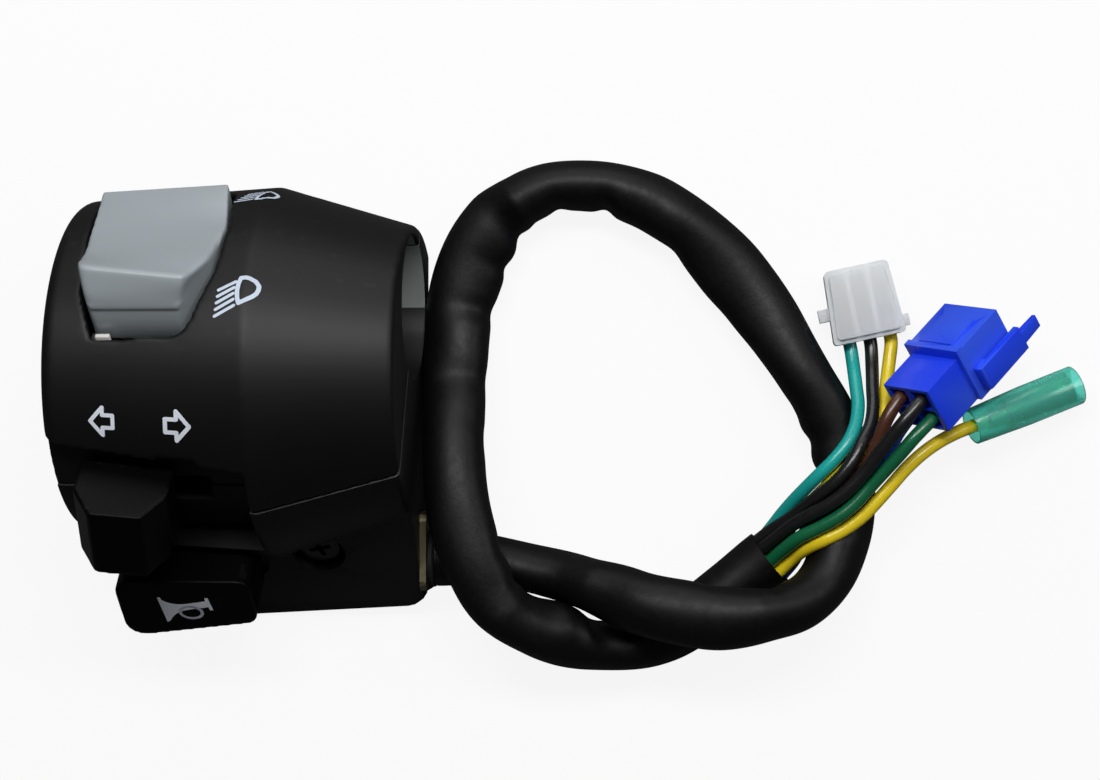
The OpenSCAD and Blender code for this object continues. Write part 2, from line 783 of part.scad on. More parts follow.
// Ring of a tube about a centre, square to a direction
function ring(c, dir, r, sides) =
    let (
        side = unit(cross(dir, abs(dir[2]) < 0.95 ? [0, 0, 1] : [1, 0, 0])),
        up = cross(side, dir)
    )
    [for (k = [0:sides - 1]) c + r * (side * cos(360 * k / sides) + up * sin(360 * k / sides))];

// Direction of a path at one of its points
function heading(path, i) =
    let (last = len(path) - 1)
    unit(path[min(i + 1, last)] - path[max(i - 1, 0)]);

// Closed tube of rings, as triangles
module skin(rings, sides) {
    n = len(rings);
    points = [for (r = rings) each r];
    walls = [for (i = [0:n - 2], k = [0:sides - 1])
        let (a = i * sides + k, b = i * sides + (k + 1) % sides)
        each [[a, b, b + sides], [a, b + sides, a + sides]]];
    caps = [for (k = [1:sides - 2])
        each [[0, k + 1, k], [(n - 1) * sides, (n - 1) * sides + k, (n - 1) * sides + k + 1]]];
    polyhedron(points = points, faces = [for (f = concat(walls, caps)) [f[2], f[1], f[0]]]);
}

// Round tube swept along a path
module tube(path, r, sides) {
    skin([for (i = [0:len(path) - 1]) ring(path[i], heading(path, i), r, sides)], sides);
}

// Coil spring standing on Z
rings_per_turn = 8;
function coil_path(d, wire, turns, h) =
    [for (i = [0:turns * rings_per_turn])
        let (t = i / (turns * rings_per_turn))
        [
            (d - wire) / 2 * cos(360 * turns * t),
            (d - wire) / 2 * sin(360 * turns * t),
            wire / 2 + (h - wire) * t
        ]];

module horn_spring() {
    color("#b9bcc0") on_pocket() translate([0, 0, -horn_floor + blade_t + 0.1])
        tube(coil_path(spring_d, spring_wire, spring_turns, horn_spring_h), spring_wire / 2, 6);
}
horn_spring_h = horn_floor - blade_t - horn_plate - 0.2;
horn_spring_gap = (horn_spring_h - horn_travel - spring_wire) / spring_turns - spring_wire;
echo(horn_spring_least_gap = horn_spring_gap);

module turn_spring() {
    color("#b9bcc0") on_case(turn_angle) translate([knob_x, ball_u, slider_top - slider_h + 1.1])
        tube(coil_path(detent_d, detent_wire, detent_turns, detent_h), detent_wire / 2, 6);
}
detent_d = 2.2;
detent_wire = 0.3;
detent_turns = 3;
detent_h = 2.8;
detent_gap = (detent_h - detent_wire) / detent_turns - detent_wire;
echo(turn_spring_least_gap = detent_gap);

module horn_blade() {
    color("#c9a34a") on_pocket() translate([0, 0, -horn_floor]) difference() {
        cylinder(h = blade_t, r = pocket_r - 0.1);
        translate([0, 0, -1]) cylinder(h = 3, r = 1.6);
    }
}

module horn_stud() {
    color("#c9a34a") on_pocket() translate([0, 0, -horn_floor])
        cylinder(h = horn_floor - horn_stem - horn_travel - 0.4, r = 1.3);
}

// Retainer plate round the outlet
plate_low = 5;
plate_high = 7.5;
plate_half = 4.6;
module retainer_plate() {
    color("#b79a5b") translate([case_x1, outlet_y, outlet_z]) difference() {
        along_x(0, plate_t)
            polygon(rounded(
                [
                    [-plate_low, -plate_half],
                    [-plate_low, plate_half],
                    [plate_high, plate_half],
                    [plate_high, -plate_half]
                ],
                [1.5, 1.5, 1.5, 1.5]
            ));
        rod_x(-1, plate_t + 1, grommet_d / 2 + 0.1);
    }
}

module grommet() {
    color("#1a1a1a") translate([0, outlet_y, outlet_z]) difference() {
        union() {
            rod_x(case_x1 - 7, case_x1 + plate_t, grommet_d / 2);
            rod_x(case_x1 + plate_t, sleeve_route[0][0] - 0.05, sleeve_d / 2 - 0.2);
        }
        rod_x(case_x1 - 8, case_x1 + 10, 2);
    }
}

module harness_sleeve() {
    color("#161617") tube(sleeve_route, sleeve_d / 2, 12);
}

// Wire along a route
module wire(route, shade) {
    color(shade) tube(route, wire_d / 2, 8);
}

module wire_teal() {
    wire(teal_route, "#1fa59a");
}

module wire_black_upper() {
    wire(black_upper_route, "#151515");
}

module wire_yellow_inner() {
    wire(yellow_inner_route, "#f2cf1d");
}

module wire_black_lower() {
    wire(black_lower_route, "#151515");
}

module wire_brown() {
    wire(brown_route, "#5b3420");
}

module wire_green() {
    wire(green_route, "#14603a");
}

module wire_blue() {
    wire(blue_route, "#1d4fd0");
}

module wire_yellow_outer() {
    wire(yellow_outer_route, "#f2cf1d");
}

wire_hole_r = wire_d / 2 + 0.25;
terminal_gap = 0.2;

// Frame of the white connector, with Y from its wires to its mating end
module on_white() {
    translate([96.4, -4.8, table_z]) rotate([0, 0, 12]) children();
}
white_pitch = 3.2;
white_z = 3.5;
white_slot = 2.4;
white_mouth = 1.5;
white_pin = white_slot - 2 * terminal_gap;

// Outline of the white connector, drawn in by d
white_rear_w = white_w + 1;
white_front_w = white_w - 0.4;
function white_outline(d) =
    rounded(
        [
            [-white_rear_w / 2 + d, d],
            [white_rear_w / 2 - d, d],
            [white_front_w / 2 - d, white_l - d],
            [-white_front_w / 2 + d, white_l - d]
        ],
        [0.6, 0.6, 0.8, 0.8]
    );

module white_connector() {
    color("#eceff0") on_white() difference() {
        union() {
            linear_extrude(white_h - 0.6) polygon(white_outline(0));
            linear_extrude(white_h) polygon(white_outline(0.7));
            translate([-white_rear_w / 2 - 1.4, 4, 1.4]) cube([2.4, 2, 3.4]);
            translate([white_rear_w / 2 - 1, 0.9, 1.4]) cube([1.9, 1.8, 3.4]);
        }
        for (i = [-1:1]) {
            translate([i * white_pitch, -1, white_z]) rotate([-90, 0, 0]) cylinder(h = 5, r = wire_hole_r);
            translate([i * white_pitch - white_slot / 2, 2.4, white_z - white_slot / 2])
                cube([white_slot, white_l - 3.8, white_slot]);
            translate([i * white_pitch - white_mouth / 2, white_l / 2, white_z - white_mouth / 2])
                cube([white_mouth, white_l, white_mouth]);
        }
    }
}

module white_terminals() {
    color("#c9a34a") on_white() for (i = [-1:1])
        translate([i * white_pitch - white_pin / 2, 2.8, white_z - white_pin / 2])
        cube([white_pin, white_l - 5, white_pin]);
}

// Frame of the blue connector, with Y from its wires to its mating end
module on_blue() {
    translate([104.7, -18.5, table_z + 11.64]) rotate([-41, -48, -10]) children();
}
blue_ways = [[-2.2, 5.8], [2.2, 5.8], [-2.2, 2.1], [2.2, 2.1]];
blue_slot = 2.4;
blue_port = 3.2;
blue_pin = blue_slot - 2 * terminal_gap;
blue_rear_l = 7.4;
blue_left = -5.2;
blue_right = blue_left + blue_w;
lip_l = 1.2;

module blue_connector() {
    color("#173fe0") on_blue() difference() {
        union() {
            translate([-blue_w / 2 + 0.7, 0, 0]) cube([blue_w - 1.4, blue_rear_l + 1, blue_h - 1.4]);
            translate([blue_left, blue_rear_l, 0]) cube([blue_w, blue_l - blue_rear_l, blue_h]);
            translate([blue_left - 0.3, blue_rear_l, 0]) cube([blue_w + 0.3, lip_l, blue_h + 0.3]);
            translate([blue_left + 2, blue_rear_l + lip_l - eps, 1]) cube([blue_w - 4, 6, blue_h - 0.5]);
        }
        for (w = blue_ways) {
            translate([w[0] - blue_port / 2, -1, w[1] - blue_port / 2]) cube([blue_port, 3.6, blue_port]);
            translate([w[0] - blue_slot / 2, 2, w[1] - blue_slot / 2]) cube([blue_slot, blue_l, blue_slot]);
        }
    }
}

module blue_terminals() {
    color("#c9a34a") on_blue() for (w = blue_ways)
        translate([w[0] - blue_pin / 2, 2.8, w[1] - blue_pin / 2])
        cube([blue_pin, blue_l - 5, blue_pin]);
}

// Lock lever beside the blue connector
lever_gap = 0.05;
module blue_lever() {
    color("#173fe0") on_blue() translate([blue_right + lever_gap, 0, 0]) {
        translate([0, 0, 1.2]) linear_extrude(4) polygon(rounded(
            [[0, 8.6], [1.7, 8.6], [1.7, 18.6], [0.45, 18.6], [0.45, 11], [0, 11]],
            [0.3, 0.5, 0.3, 0, 0.2, 0.2]
        ));
        translate([0, 0, 2.2]) linear_extrude(2) polygon(rounded(
            [[0.45, 18.4], [1.7, 18.4], [1.5, 22.6], [0.7, 22.6]],
            [0, 0, 0.3, 0.3]
        ));
    }
}

// Frame of the bullet, with X from its wire to its mouth
module on_bullet() {
    translate([111.7, -18.5, table_z + 8.08]) rotate([0, 16, 21.5]) children();
}
bullet_skin = 0.6;
bullet_case_r = bullet_d / 2 - bullet_skin;
crimp_x = 3;
barrel_x = 6;

module bullet_sleeve() {
    color("#2f9e78") on_bullet() difference() {
        rotate([0, 90, 0]) rotate_extrude() polygon([
            [0, 0],
            [bullet_d / 2 - 0.3, 0],
            [bullet_d / 2, bullet_l / 2],
            [bullet_d / 2, bullet_l],
            [0, bullet_l]
        ]);
        rod_x(-1, bullet_l + 1, bullet_case_r);
    }
}

module bullet_terminal() {
    color("#c9a34a") on_bullet() difference() {
        union() {
            rod_x(crimp_x, barrel_x + eps, wire_d / 2 + 0.65);
            rod_x(barrel_x, bullet_l - 1.5, bullet_case_r - 0.05);
        }
        rod_x(barrel_x + 1.5, bullet_l, bullet_bore / 2);
    }
}

front_shell();
rear_shell();
case_screws();
carrier_screw();
retainer_plate();
grommet();
dimmer_rocker();
dimmer_pin();
dimmer_base();
dimmer_studs();
dimmer_strip();
dimmer_leaf();
turn_knob();
turn_slider();
turn_ball();
turn_spring();
turn_bridge();
turn_board();
turn_rivets();
horn_button();
horn_spring();
horn_blade();
horn_stud();
harness_sleeve();
wire_teal();
wire_black_upper();
wire_yellow_inner();
wire_black_lower();
wire_brown();
wire_green();
wire_blue();
wire_yellow_outer();
white_connector();
white_terminals();
blue_connector();
blue_lever();
blue_terminals();
bullet_sleeve();
bullet_terminal();
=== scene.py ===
"""Looks of a motorbike handlebar switch cluster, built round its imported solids."""

import json
import logging
import math
from dataclasses import dataclass, field
from enum import Enum
from typing import Callable

import bpy
from mathutils import Matrix, Vector

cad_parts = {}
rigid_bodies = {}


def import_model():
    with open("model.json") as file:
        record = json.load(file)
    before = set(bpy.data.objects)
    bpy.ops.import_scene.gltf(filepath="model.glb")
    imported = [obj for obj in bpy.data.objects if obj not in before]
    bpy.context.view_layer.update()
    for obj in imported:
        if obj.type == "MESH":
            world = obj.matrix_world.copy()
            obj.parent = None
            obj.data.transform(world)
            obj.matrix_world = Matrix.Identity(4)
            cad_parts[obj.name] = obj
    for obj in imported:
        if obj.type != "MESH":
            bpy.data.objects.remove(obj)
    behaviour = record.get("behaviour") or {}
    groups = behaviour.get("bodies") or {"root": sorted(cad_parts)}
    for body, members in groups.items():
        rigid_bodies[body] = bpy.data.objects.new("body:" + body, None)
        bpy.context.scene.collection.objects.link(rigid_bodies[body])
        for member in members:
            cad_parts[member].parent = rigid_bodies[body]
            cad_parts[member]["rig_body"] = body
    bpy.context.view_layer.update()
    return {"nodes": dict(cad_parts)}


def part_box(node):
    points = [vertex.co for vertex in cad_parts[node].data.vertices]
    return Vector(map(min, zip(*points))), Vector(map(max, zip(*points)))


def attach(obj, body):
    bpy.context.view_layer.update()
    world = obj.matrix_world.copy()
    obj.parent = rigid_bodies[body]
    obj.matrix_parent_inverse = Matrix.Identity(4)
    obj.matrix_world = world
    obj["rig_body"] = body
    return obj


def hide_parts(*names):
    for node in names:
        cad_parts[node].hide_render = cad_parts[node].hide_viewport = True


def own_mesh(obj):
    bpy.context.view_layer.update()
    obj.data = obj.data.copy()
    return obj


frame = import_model()
LOG = logging.getLogger("switch_cluster")
MM = 0.001
MERGE = 2e-6
FLAT_ANGLE = math.radians(0.6)

Colour = tuple[float, float, float]
Flat = tuple[float, float]
Place = tuple[float, float, float]


# ---------------------------------------------------------------- shared tools


def deselect() -> None:
    """Clears the selection."""
    bpy.ops.object.select_all(action="DESELECT")


def take(piece: bpy.types.Object) -> None:
    """Makes one piece the only selected and active object.

    Args:
        piece: The object to work on.
    """
    deselect()
    piece.select_set(True)
    bpy.context.view_layer.objects.active = piece


def apply_modifier(piece: bpy.types.Object, kind: str, **settings: object) -> None:
    """Adds a modifier to a piece and applies it.

    Args:
        piece: The object to change.
        kind: Blender's modifier type.
        settings: Values set on the modifier before it is applied.
    """
    take(piece)
    modifier = piece.modifiers.new(kind.lower(), kind)
    for name, value in settings.items():
        setattr(modifier, name, value)
    bpy.ops.object.modifier_apply(modifier=modifier.name)


def join(pieces: list[bpy.types.Object], name: str) -> bpy.types.Object:
    """Joins objects into one and applies its place.

    Args:
        pieces: The objects to join.
        name: Name of the joined piece.

    Returns:
        The joined object, with its place in its mesh.
    """
    for piece in pieces:
        take(piece)
        bpy.ops.object.transform_apply(location=True, rotation=True, scale=True)
    take(pieces[0])
    for piece in pieces:
        piece.select_set(True)
    bpy.ops.object.join()
    joined = bpy.context.view_layer.objects.active
    joined.name = name
    joined.data.name = name
    return joined


def smooth(piece: bpy.types.Object, angle: float = 32.0) -> None:
    """Shades a piece smooth across edges flatter than an angle.

    Args:
        piece: The object to shade.
        angle: Limit in degrees.
    """
    take(piece)
    bpy.ops.object.shade_smooth_by_angle(angle=math.radians(angle))


def edit_all(piece: bpy.types.Object, operator: Callable[..., object], **settings: object) -> None:
    """Runs one edit-mode operator on the whole of a piece.

    Args:
        piece: The object to change.
        operator: The operator to run.
        settings: Values given to the operator.
    """
    take(piece)
    bpy.ops.object.mode_set(mode="EDIT")
    bpy.ops.mesh.select_all(action="SELECT")
    operator(**settings)
    bpy.ops.object.mode_set(mode="OBJECT")


def move_points(piece: bpy.types.Object, rule: Callable[[Vector], Vector]) -> None:
    """Moves each vertex of a piece by a rule.

    Args:
        piece: The object to change.
        rule: Gives a vertex its new place.
    """
    for vertex in piece.data.vertices:
        vertex.co = rule(vertex.co.copy())
    piece.data.update()


def through(points: list[Place], step: float) -> list[Vector]:
    """Samples a smooth curve through points.

    Args:
        points: Places that the curve passes, in metres.
        step: Distance between samples, in metres.

    Returns:
        Places along the curve, a step apart.
    """
    path = [Vector(p) for p in points]
    path = [path[0] * 2 - path[1], *path, path[-1] * 2 - path[-2]]
    fine: list[Vector] = []
    for a, b, c, d in zip(path, path[1:], path[2:], path[3:]):
        count = max(2, round((c - b).length / (step / 6)))
        for i in range(count):
            t = i / count
            bow = (2 * a - 5 * b + 4 * c - d) * t**2
            twist = (3 * b - a - 3 * c + d) * t**3
            fine.append(0.5 * (2 * b + (c - a) * t + bow + twist))
    fine.append(path[-2])
    even = [fine[0]]
    run = 0.0
    for a, b in zip(fine, fine[1:]):
        run += (b - a).length
        if run >= step:
            even.append(b)
            run = 0.0
    if (even[-1] - fine[-1]).length < step / 2:
        even.pop()
    even.append(fine[-1])
    return even


def run_of(path: list[Vector]) -> float:
    """Length of a path, in metres."""
    return sum((b - a).length for a, b in zip(path, path[1:]))


def ease(value: float, start: float, end: float) -> float:
    """Soft step from 0 at the start to 1 at the end."""
    t = min(1.0, max(0.0, (value - start) / (end - start)))
    return t * t * (3 - 2 * t)


# ---------------------------------------------------------------- finishes


class Surface(Enum):
    """Kinds of material, by how light meets them."""

    SOLID = "solid"
    METAL = "metal"
    MILKY = "milky"
    CLEAR = "clear"


def socket_group(
    name: str, inputs: dict[str, tuple[str, object]], outputs: dict[str, str]
) -> bpy.types.NodeTree:
    """Makes an empty shader node group with named sockets.

    Args:
        name: Name of the group.
        inputs: Socket name to its type and default value.
        outputs: Socket name to its type.

    Returns:
        The group, holding only its input and output nodes.
    """
    tree = bpy.data.node_groups.new(name, "ShaderNodeTree")
    for label, (kind, value) in inputs.items():
        socket = tree.interface.new_socket(label, in_out="INPUT", socket_type=kind)
        socket.default_value = value
    for label, kind in outputs.items():
        tree.interface.new_socket(label, in_out="OUTPUT", socket_type=kind)
    tree.nodes.new("NodeGroupInput").name = "In"
    tree.nodes.new("NodeGroupOutput").name = "Out"
    return tree


def grain_group() -> bpy.types.NodeTree:
    """Builds the moulded-grain effect: patchy colour and roughness, and a fine height.

    Returns:
        The node group.
    """
    tree = socket_group(
        "moulded_grain",
        {
            "Colour": ("NodeSocketColor", (0.5, 0.5, 0.5, 1)),
            "Patch Colour": ("NodeSocketColor", (0.4, 0.4, 0.4, 1)),
            "Patch Scale": ("NodeSocketFloat", 60.0),
            "Grain Scale": ("NodeSocketFloat", 4000.0),
            "Smoothest": ("NodeSocketFloat", 0.3),
            "Roughest": ("NodeSocketFloat", 0.5),
        },
        {"Colour": "NodeSocketColor", "Roughness": "NodeSocketFloat", "Height": "NodeSocketFloat"},
    )
    nodes, links = tree.nodes, tree.links
    place = nodes.new("ShaderNodeTexCoord")
    patch = nodes.new("ShaderNodeTexNoise")
    patch.inputs["Detail"].default_value = 4
    grain = nodes.new("ShaderNodeTexNoise")
    grain.inputs["Detail"].default_value = 2
    grain.inputs["Roughness"].default_value = 0.6
    blend = nodes.new("ShaderNodeMix")
    blend.data_type = "RGBA"
    rough = nodes.new("ShaderNodeMapRange")
    both = nodes.new("ShaderNodeMath")
    both.operation = "MULTIPLY_ADD"
    both.inputs[1].default_value = 0.5
    links.new(place.outputs["Object"], patch.inputs["Vector"])
    links.new(place.outputs["Object"], grain.inputs["Vector"])
    links.new(nodes["In"].outputs["Patch Scale"], patch.inputs["Scale"])
    links.new(nodes["In"].outputs["Grain Scale"], grain.inputs["Scale"])
    links.new(patch.outputs["Fac"], blend.inputs["Factor"])
    links.new(nodes["In"].outputs["Colour"], blend.inputs["A"])
    links.new(nodes["In"].outputs["Patch Colour"], blend.inputs["B"])
    links.new(blend.outputs["Result"], nodes["Out"].inputs["Colour"])
    links.new(patch.outputs["Fac"], both.inputs[0])
    links.new(grain.outputs["Fac"], both.inputs[2])
    links.new(both.outputs["Value"], rough.inputs["Value"])
    rough.inputs["From Min"].default_value = 0.45
    rough.inputs["From Max"].default_value = 1.05
    links.new(nodes["In"].outputs["Smoothest"], rough.inputs["To Min"])
    links.new(nodes["In"].outputs["Roughest"], rough.inputs["To Max"])
    links.new(rough.outputs["Result"], nodes["Out"].inputs["Roughness"])
    links.new(grain.outputs["Fac"], nodes["Out"].inputs["Height"])
    return tree


def edge_wear_and_painted_light_group() -> bpy.types.NodeTree:
    """Builds the edge effect: a colour of its own where the surface turns sharply, which stands
    for edge wear and painted light along the edges (a painted highlight on most finishes).

    Returns:
        The node group.
    """
    tree = socket_group(
        "edge_wear_and_painted_light_effect",
        {
            "Colour": ("NodeSocketColor", (0.5, 0.5, 0.5, 1)),
            "Edge Wear And Light": ("NodeSocketColor", (0.6, 0.6, 0.6, 1)),
            "Amount": ("NodeSocketFloat", 0.4),
        },
        {"Colour": "NodeSocketColor"},
    )
    nodes, links = tree.nodes, tree.links
    shape = nodes.new("ShaderNodeNewGeometry")
    # Pointiness picks out sharp edges, which get the edge colour: edge wear and painted light.
    edge = nodes.new("ShaderNodeMapRange")
    edge.inputs["From Min"].default_value = 0.53
    edge.inputs["From Max"].default_value = 0.60
    share = nodes.new("ShaderNodeMath")
    share.operation = "MULTIPLY"
    blend = nodes.new("ShaderNodeMix")
    blend.data_type = "RGBA"
    links.new(shape.outputs["Pointiness"], edge.inputs["Value"])
    links.new(edge.outputs["Result"], share.inputs[0])
    links.new(nodes["In"].outputs["Amount"], share.inputs[1])
    links.new(share.outputs["Value"], blend.inputs["Factor"])
    links.new(nodes["In"].outputs["Colour"], blend.inputs["A"])
    links.new(nodes["In"].outputs["Edge Wear And Light"], blend.inputs["B"])
    links.new(blend.outputs["Result"], nodes["Out"].inputs["Colour"])
    return tree


GRAIN = grain_group()
EDGE_WEAR_AND_PAINTED_LIGHT = edge_wear_and_painted_light_group()


@dataclass(frozen=True)
class Finish:
    """One finish of the cluster, turned into a material on demand."""

    name: str
    colour: Colour
    patch: Colour
    smoothest: float = 0.3
    roughest: float = 0.5
    patch_scale: float = 60.0
    grain_scale: float = 4000.0
    bump: float = 0.1
    depth: float = 0.05 * MM
    # Colour and amount of the sharp edges' own colour: edge wear and painted light along the
    # edges.
    edge_wear_and_light_colour: Colour = (0.3, 0.3, 0.3)
    edge_wear_and_light: float = 0.0
    coat: float = 0.0
    specular: float = 0.5
    surface: Surface = Surface.SOLID
    clarity: float = 0.0

    def material(self) -> bpy.types.Material:
        """Builds the material, or finds it if it is built already.

        Returns:
            The Blender material of this finish.
        """
        label = f"{self.name}_finish"
        known = bpy.data.materials.get(label)
        if known is not None:
            return known
        made = bpy.data.materials.new(label)
        made.use_nodes = True
        nodes, links = made.node_tree.nodes, made.node_tree.links
        shader = nodes["Principled BSDF"]
        grain = nodes.new("ShaderNodeGroup")
        grain.node_tree = GRAIN
        grain.inputs["Colour"].default_value = (*self.colour, 1)
        grain.inputs["Patch Colour"].default_value = (*self.patch, 1)
        grain.inputs["Patch Scale"].default_value = self.patch_scale
        grain.inputs["Grain Scale"].default_value = self.grain_scale
        grain.inputs["Smoothest"].default_value = self.smoothest
        grain.inputs["Roughest"].default_value = self.roughest
        colour = grain.outputs["Colour"]
        # Sharp edges get their own colour: edge wear and painted light along the edges.
        if self.edge_wear_and_light > 0:
            edge_wear_and_light = nodes.new("ShaderNodeGroup")
            edge_wear_and_light.node_tree = EDGE_WEAR_AND_PAINTED_LIGHT
            edge_wear_and_light.inputs["Edge Wear And Light"].default_value = (*self.edge_wear_and_light_colour, 1)
            edge_wear_and_light.inputs["Amount"].default_value = self.edge_wear_and_light
            links.new(colour, edge_wear_and_light.inputs["Colour"])
            colour = edge_wear_and_light.outputs["Colour"]
        links.new(colour, shader.inputs["Base Color"])
        links.new(grain.outputs["Roughness"], shader.inputs["Roughness"])
        bump = nodes.new("ShaderNodeBump")
        bump.inputs["Strength"].default_value = self.bump
        bump.inputs["Distance"].default_value = self.depth
        links.new(grain.outputs["Height"], bump.inputs["Height"])
        links.new(bump.outputs["Normal"], shader.inputs["Normal"])
        shader.inputs["Specular IOR Level"].default_value = self.specular
        shader.inputs["Coat Weight"].default_value = self.coat
        shader.inputs["Coat Roughness"].default_value = 0.12
        if self.surface is Surface.METAL:
            shader.inputs["Metallic"].default_value = 1.0
        if self.surface in (Surface.MILKY, Surface.CLEAR):
            shader.inputs["Transmission Weight"].default_value = self.clarity
            shader.inputs["IOR"].default_value = 1.45
        return made

    def dress(self, piece: bpy.types.Object) -> None:
        """Gives a piece this finish all over.

        Args:
            piece: The object to dress.
        """
        piece.data.materials.clear()
        piece.data.materials.append(self.material())


# Its sharp edges get a lighter colour: edge wear and a painted highlight.
CASING = Finish(
    "casing_black", colour=(0.0012, 0.0012, 0.0015), patch=(0.0018, 0.0018, 0.0022),
    smoothest=0.44, roughest=0.54, patch_scale=70.0, grain_scale=5200.0, bump=0.22,
    depth=0.02 * MM, edge_wear_and_light_colour=(0.012, 0.012, 0.013), edge_wear_and_light=0.4, specular=0.36,
)
# Its sharp edges get a lighter colour: edge wear and a painted highlight.
GLOSSY = Finish(
    "button_black", colour=(0.0012, 0.0012, 0.0014), patch=(0.002, 0.002, 0.0023),
    smoothest=0.28, roughest=0.40, patch_scale=90.0, grain_scale=2600.0, bump=0.10,
    depth=0.03 * MM, edge_wear_and_light_colour=(0.01, 0.01, 0.011), edge_wear_and_light=0.3, specular=0.09,
)
ROCKER = Finish(
    "rocker_grey", colour=(0.335, 0.372, 0.398), patch=(0.350, 0.388, 0.412),
    smoothest=0.26, roughest=0.34, patch_scale=80.0, grain_scale=3200.0, bump=0.04,
    depth=0.02 * MM, coat=0.1,
)
# Grey of the bore's upper half, painted as its lit side.
BORE = Finish(
    "bore_grey", colour=(0.30, 0.31, 0.31), patch=(0.25, 0.26, 0.26),
    smoothest=0.4, roughest=0.6, patch_scale=120.0, grain_scale=2000.0, bump=0.2,
)
WHITE = Finish(
    "white_nylon", colour=(0.80, 0.79, 0.75), patch=(0.74, 0.73, 0.69),
    smoothest=0.35, roughest=0.5, patch_scale=90.0, grain_scale=2500.0, bump=0.1,
)
PAINT = Finish(
    "symbol_paint", colour=(0.60, 0.68, 0.80), patch=(0.54, 0.62, 0.75),
    smoothest=0.45, roughest=0.6, patch_scale=400.0, grain_scale=3000.0, bump=0.15,
)
BRIGHT_PAINT = Finish(
    "bright_symbol_paint", colour=(0.82, 0.87, 0.98), patch=(0.90, 0.94, 1.0),
    smoothest=0.4, roughest=0.55, patch_scale=300.0, grain_scale=3000.0, bump=0.15,
)
RUBBER = Finish(
    "black_rubber", colour=(0.010, 0.010, 0.010), patch=(0.014, 0.014, 0.014),
    smoothest=0.55, roughest=0.75, patch_scale=120.0, grain_scale=1800.0, bump=0.2,
)
SLEEVE = Finish(
    "sleeve_black", colour=(0.0015, 0.0015, 0.0018), patch=(0.0022, 0.0022, 0.0026),
    smoothest=0.42, roughest=0.56, patch_scale=110.0, grain_scale=900.0, bump=0.22,
    depth=0.16 * MM, specular=0.28,
)
STEEL = Finish(
    "screw_steel", colour=(0.40, 0.41, 0.42), patch=(0.30, 0.31, 0.32),
    smoothest=0.26, roughest=0.44, patch_scale=300.0, grain_scale=2400.0, bump=0.12,
    surface=Surface.METAL,
)
DARK_STEEL = Finish(
    "carrier_screw_black", colour=(0.075, 0.075, 0.08), patch=(0.045, 0.045, 0.048),
    smoothest=0.24, roughest=0.4, patch_scale=300.0, grain_scale=2400.0, bump=0.12,
    surface=Surface.METAL,
)
BRASS = Finish(
    "contact_brass", colour=(0.66, 0.46, 0.16), patch=(0.52, 0.34, 0.10),
    smoothest=0.24, roughest=0.42, patch_scale=260.0, grain_scale=2400.0, bump=0.1,
    surface=Surface.METAL,
)
PLATE = Finish(
    "plated_brass", colour=(0.26, 0.23, 0.14), patch=(0.18, 0.16, 0.095),
    smoothest=0.4, roughest=0.6, patch_scale=240.0, grain_scale=2400.0, bump=0.1,
    surface=Surface.METAL,
)
BOARD = Finish(
    "board_brown", colour=(0.15, 0.07, 0.025), patch=(0.11, 0.05, 0.018),
    smoothest=0.5, roughest=0.7, patch_scale=200.0, grain_scale=1500.0, bump=0.2,
)
# Its sharp edges get a slightly darker colour: painted shade lines along the edges.
MILKY = Finish(
    "clear_nylon", colour=(0.90, 0.92, 0.93), patch=(0.80, 0.83, 0.85),
    smoothest=0.30, roughest=0.48, patch_scale=160.0, grain_scale=1500.0, bump=0.12,
    depth=0.08 * MM, edge_wear_and_light_colour=(0.88, 0.90, 0.91), edge_wear_and_light=0.7, surface=Surface.MILKY, clarity=0.40,
)
# Its sharp edges get a paler blue: edge wear and a painted highlight.
BLUE = Finish(
    "blue_nylon", colour=(0.010, 0.058, 0.96), patch=(0.008, 0.045, 0.82),
    smoothest=0.26, roughest=0.42, patch_scale=160.0, grain_scale=1800.0, bump=0.1,
    depth=0.05 * MM, edge_wear_and_light_colour=(0.05, 0.14, 0.88), edge_wear_and_light=0.6,
)
GREEN = Finish(
    "green_vinyl", colour=(0.20, 0.88, 0.74), patch=(0.15, 0.76, 0.62),
    smoothest=0.14, roughest=0.30, patch_scale=220.0, grain_scale=1200.0, bump=0.1,
    depth=0.05 * MM, surface=Surface.CLEAR, clarity=0.7, coat=0.2,
)


def wire_finish(name: str, colour: Colour) -> Finish:
    """Makes the finish of one wire's vinyl.

    Args:
        name: Name of the wire's finish.
        colour: Its dye.

    Returns:
        The finish.
    """
    darker = (colour[0] * 0.82, colour[1] * 0.82, colour[2] * 0.82)
    return Finish(
        name, colour, darker, smoothest=0.22, roughest=0.36, patch_scale=260.0, grain_scale=1600.0,
        bump=0.08, depth=0.04 * MM, coat=0.15,
    )


# ---------------------------------------------------------------- pieces from the solids


def merged_copy(node: str) -> bpy.types.Object:
    """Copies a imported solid's mesh and merges its loose triangles.

    Args:
        node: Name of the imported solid.

    Returns:
        The copy, selected and active.
    """
    piece = bpy.data.objects.new(f"{node}_dressed", frame["nodes"][node].data.copy())
    bpy.context.scene.collection.objects.link(piece)
    take(piece)
    bpy.ops.mesh.customdata_custom_splitnormals_clear()
    edit_all(piece, bpy.ops.mesh.remove_doubles, threshold=MERGE)
    return piece


def standing_for(piece: bpy.types.Object, node: str, finish: Finish) -> bpy.types.Object:
    """Dresses a copy of a solid and lets it stand for that solid.

    Args:
        piece: The copy.
        node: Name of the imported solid.
        finish: Finish of the copy.

    Returns:
        The copy, riding with the solid's body.
    """
    finish.dress(piece)
    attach(piece, frame["nodes"][node]["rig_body"])
    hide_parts(node)
    LOG.info("%s stands for %s with %d faces", piece.name, node, len(piece.data.polygons))
    return piece


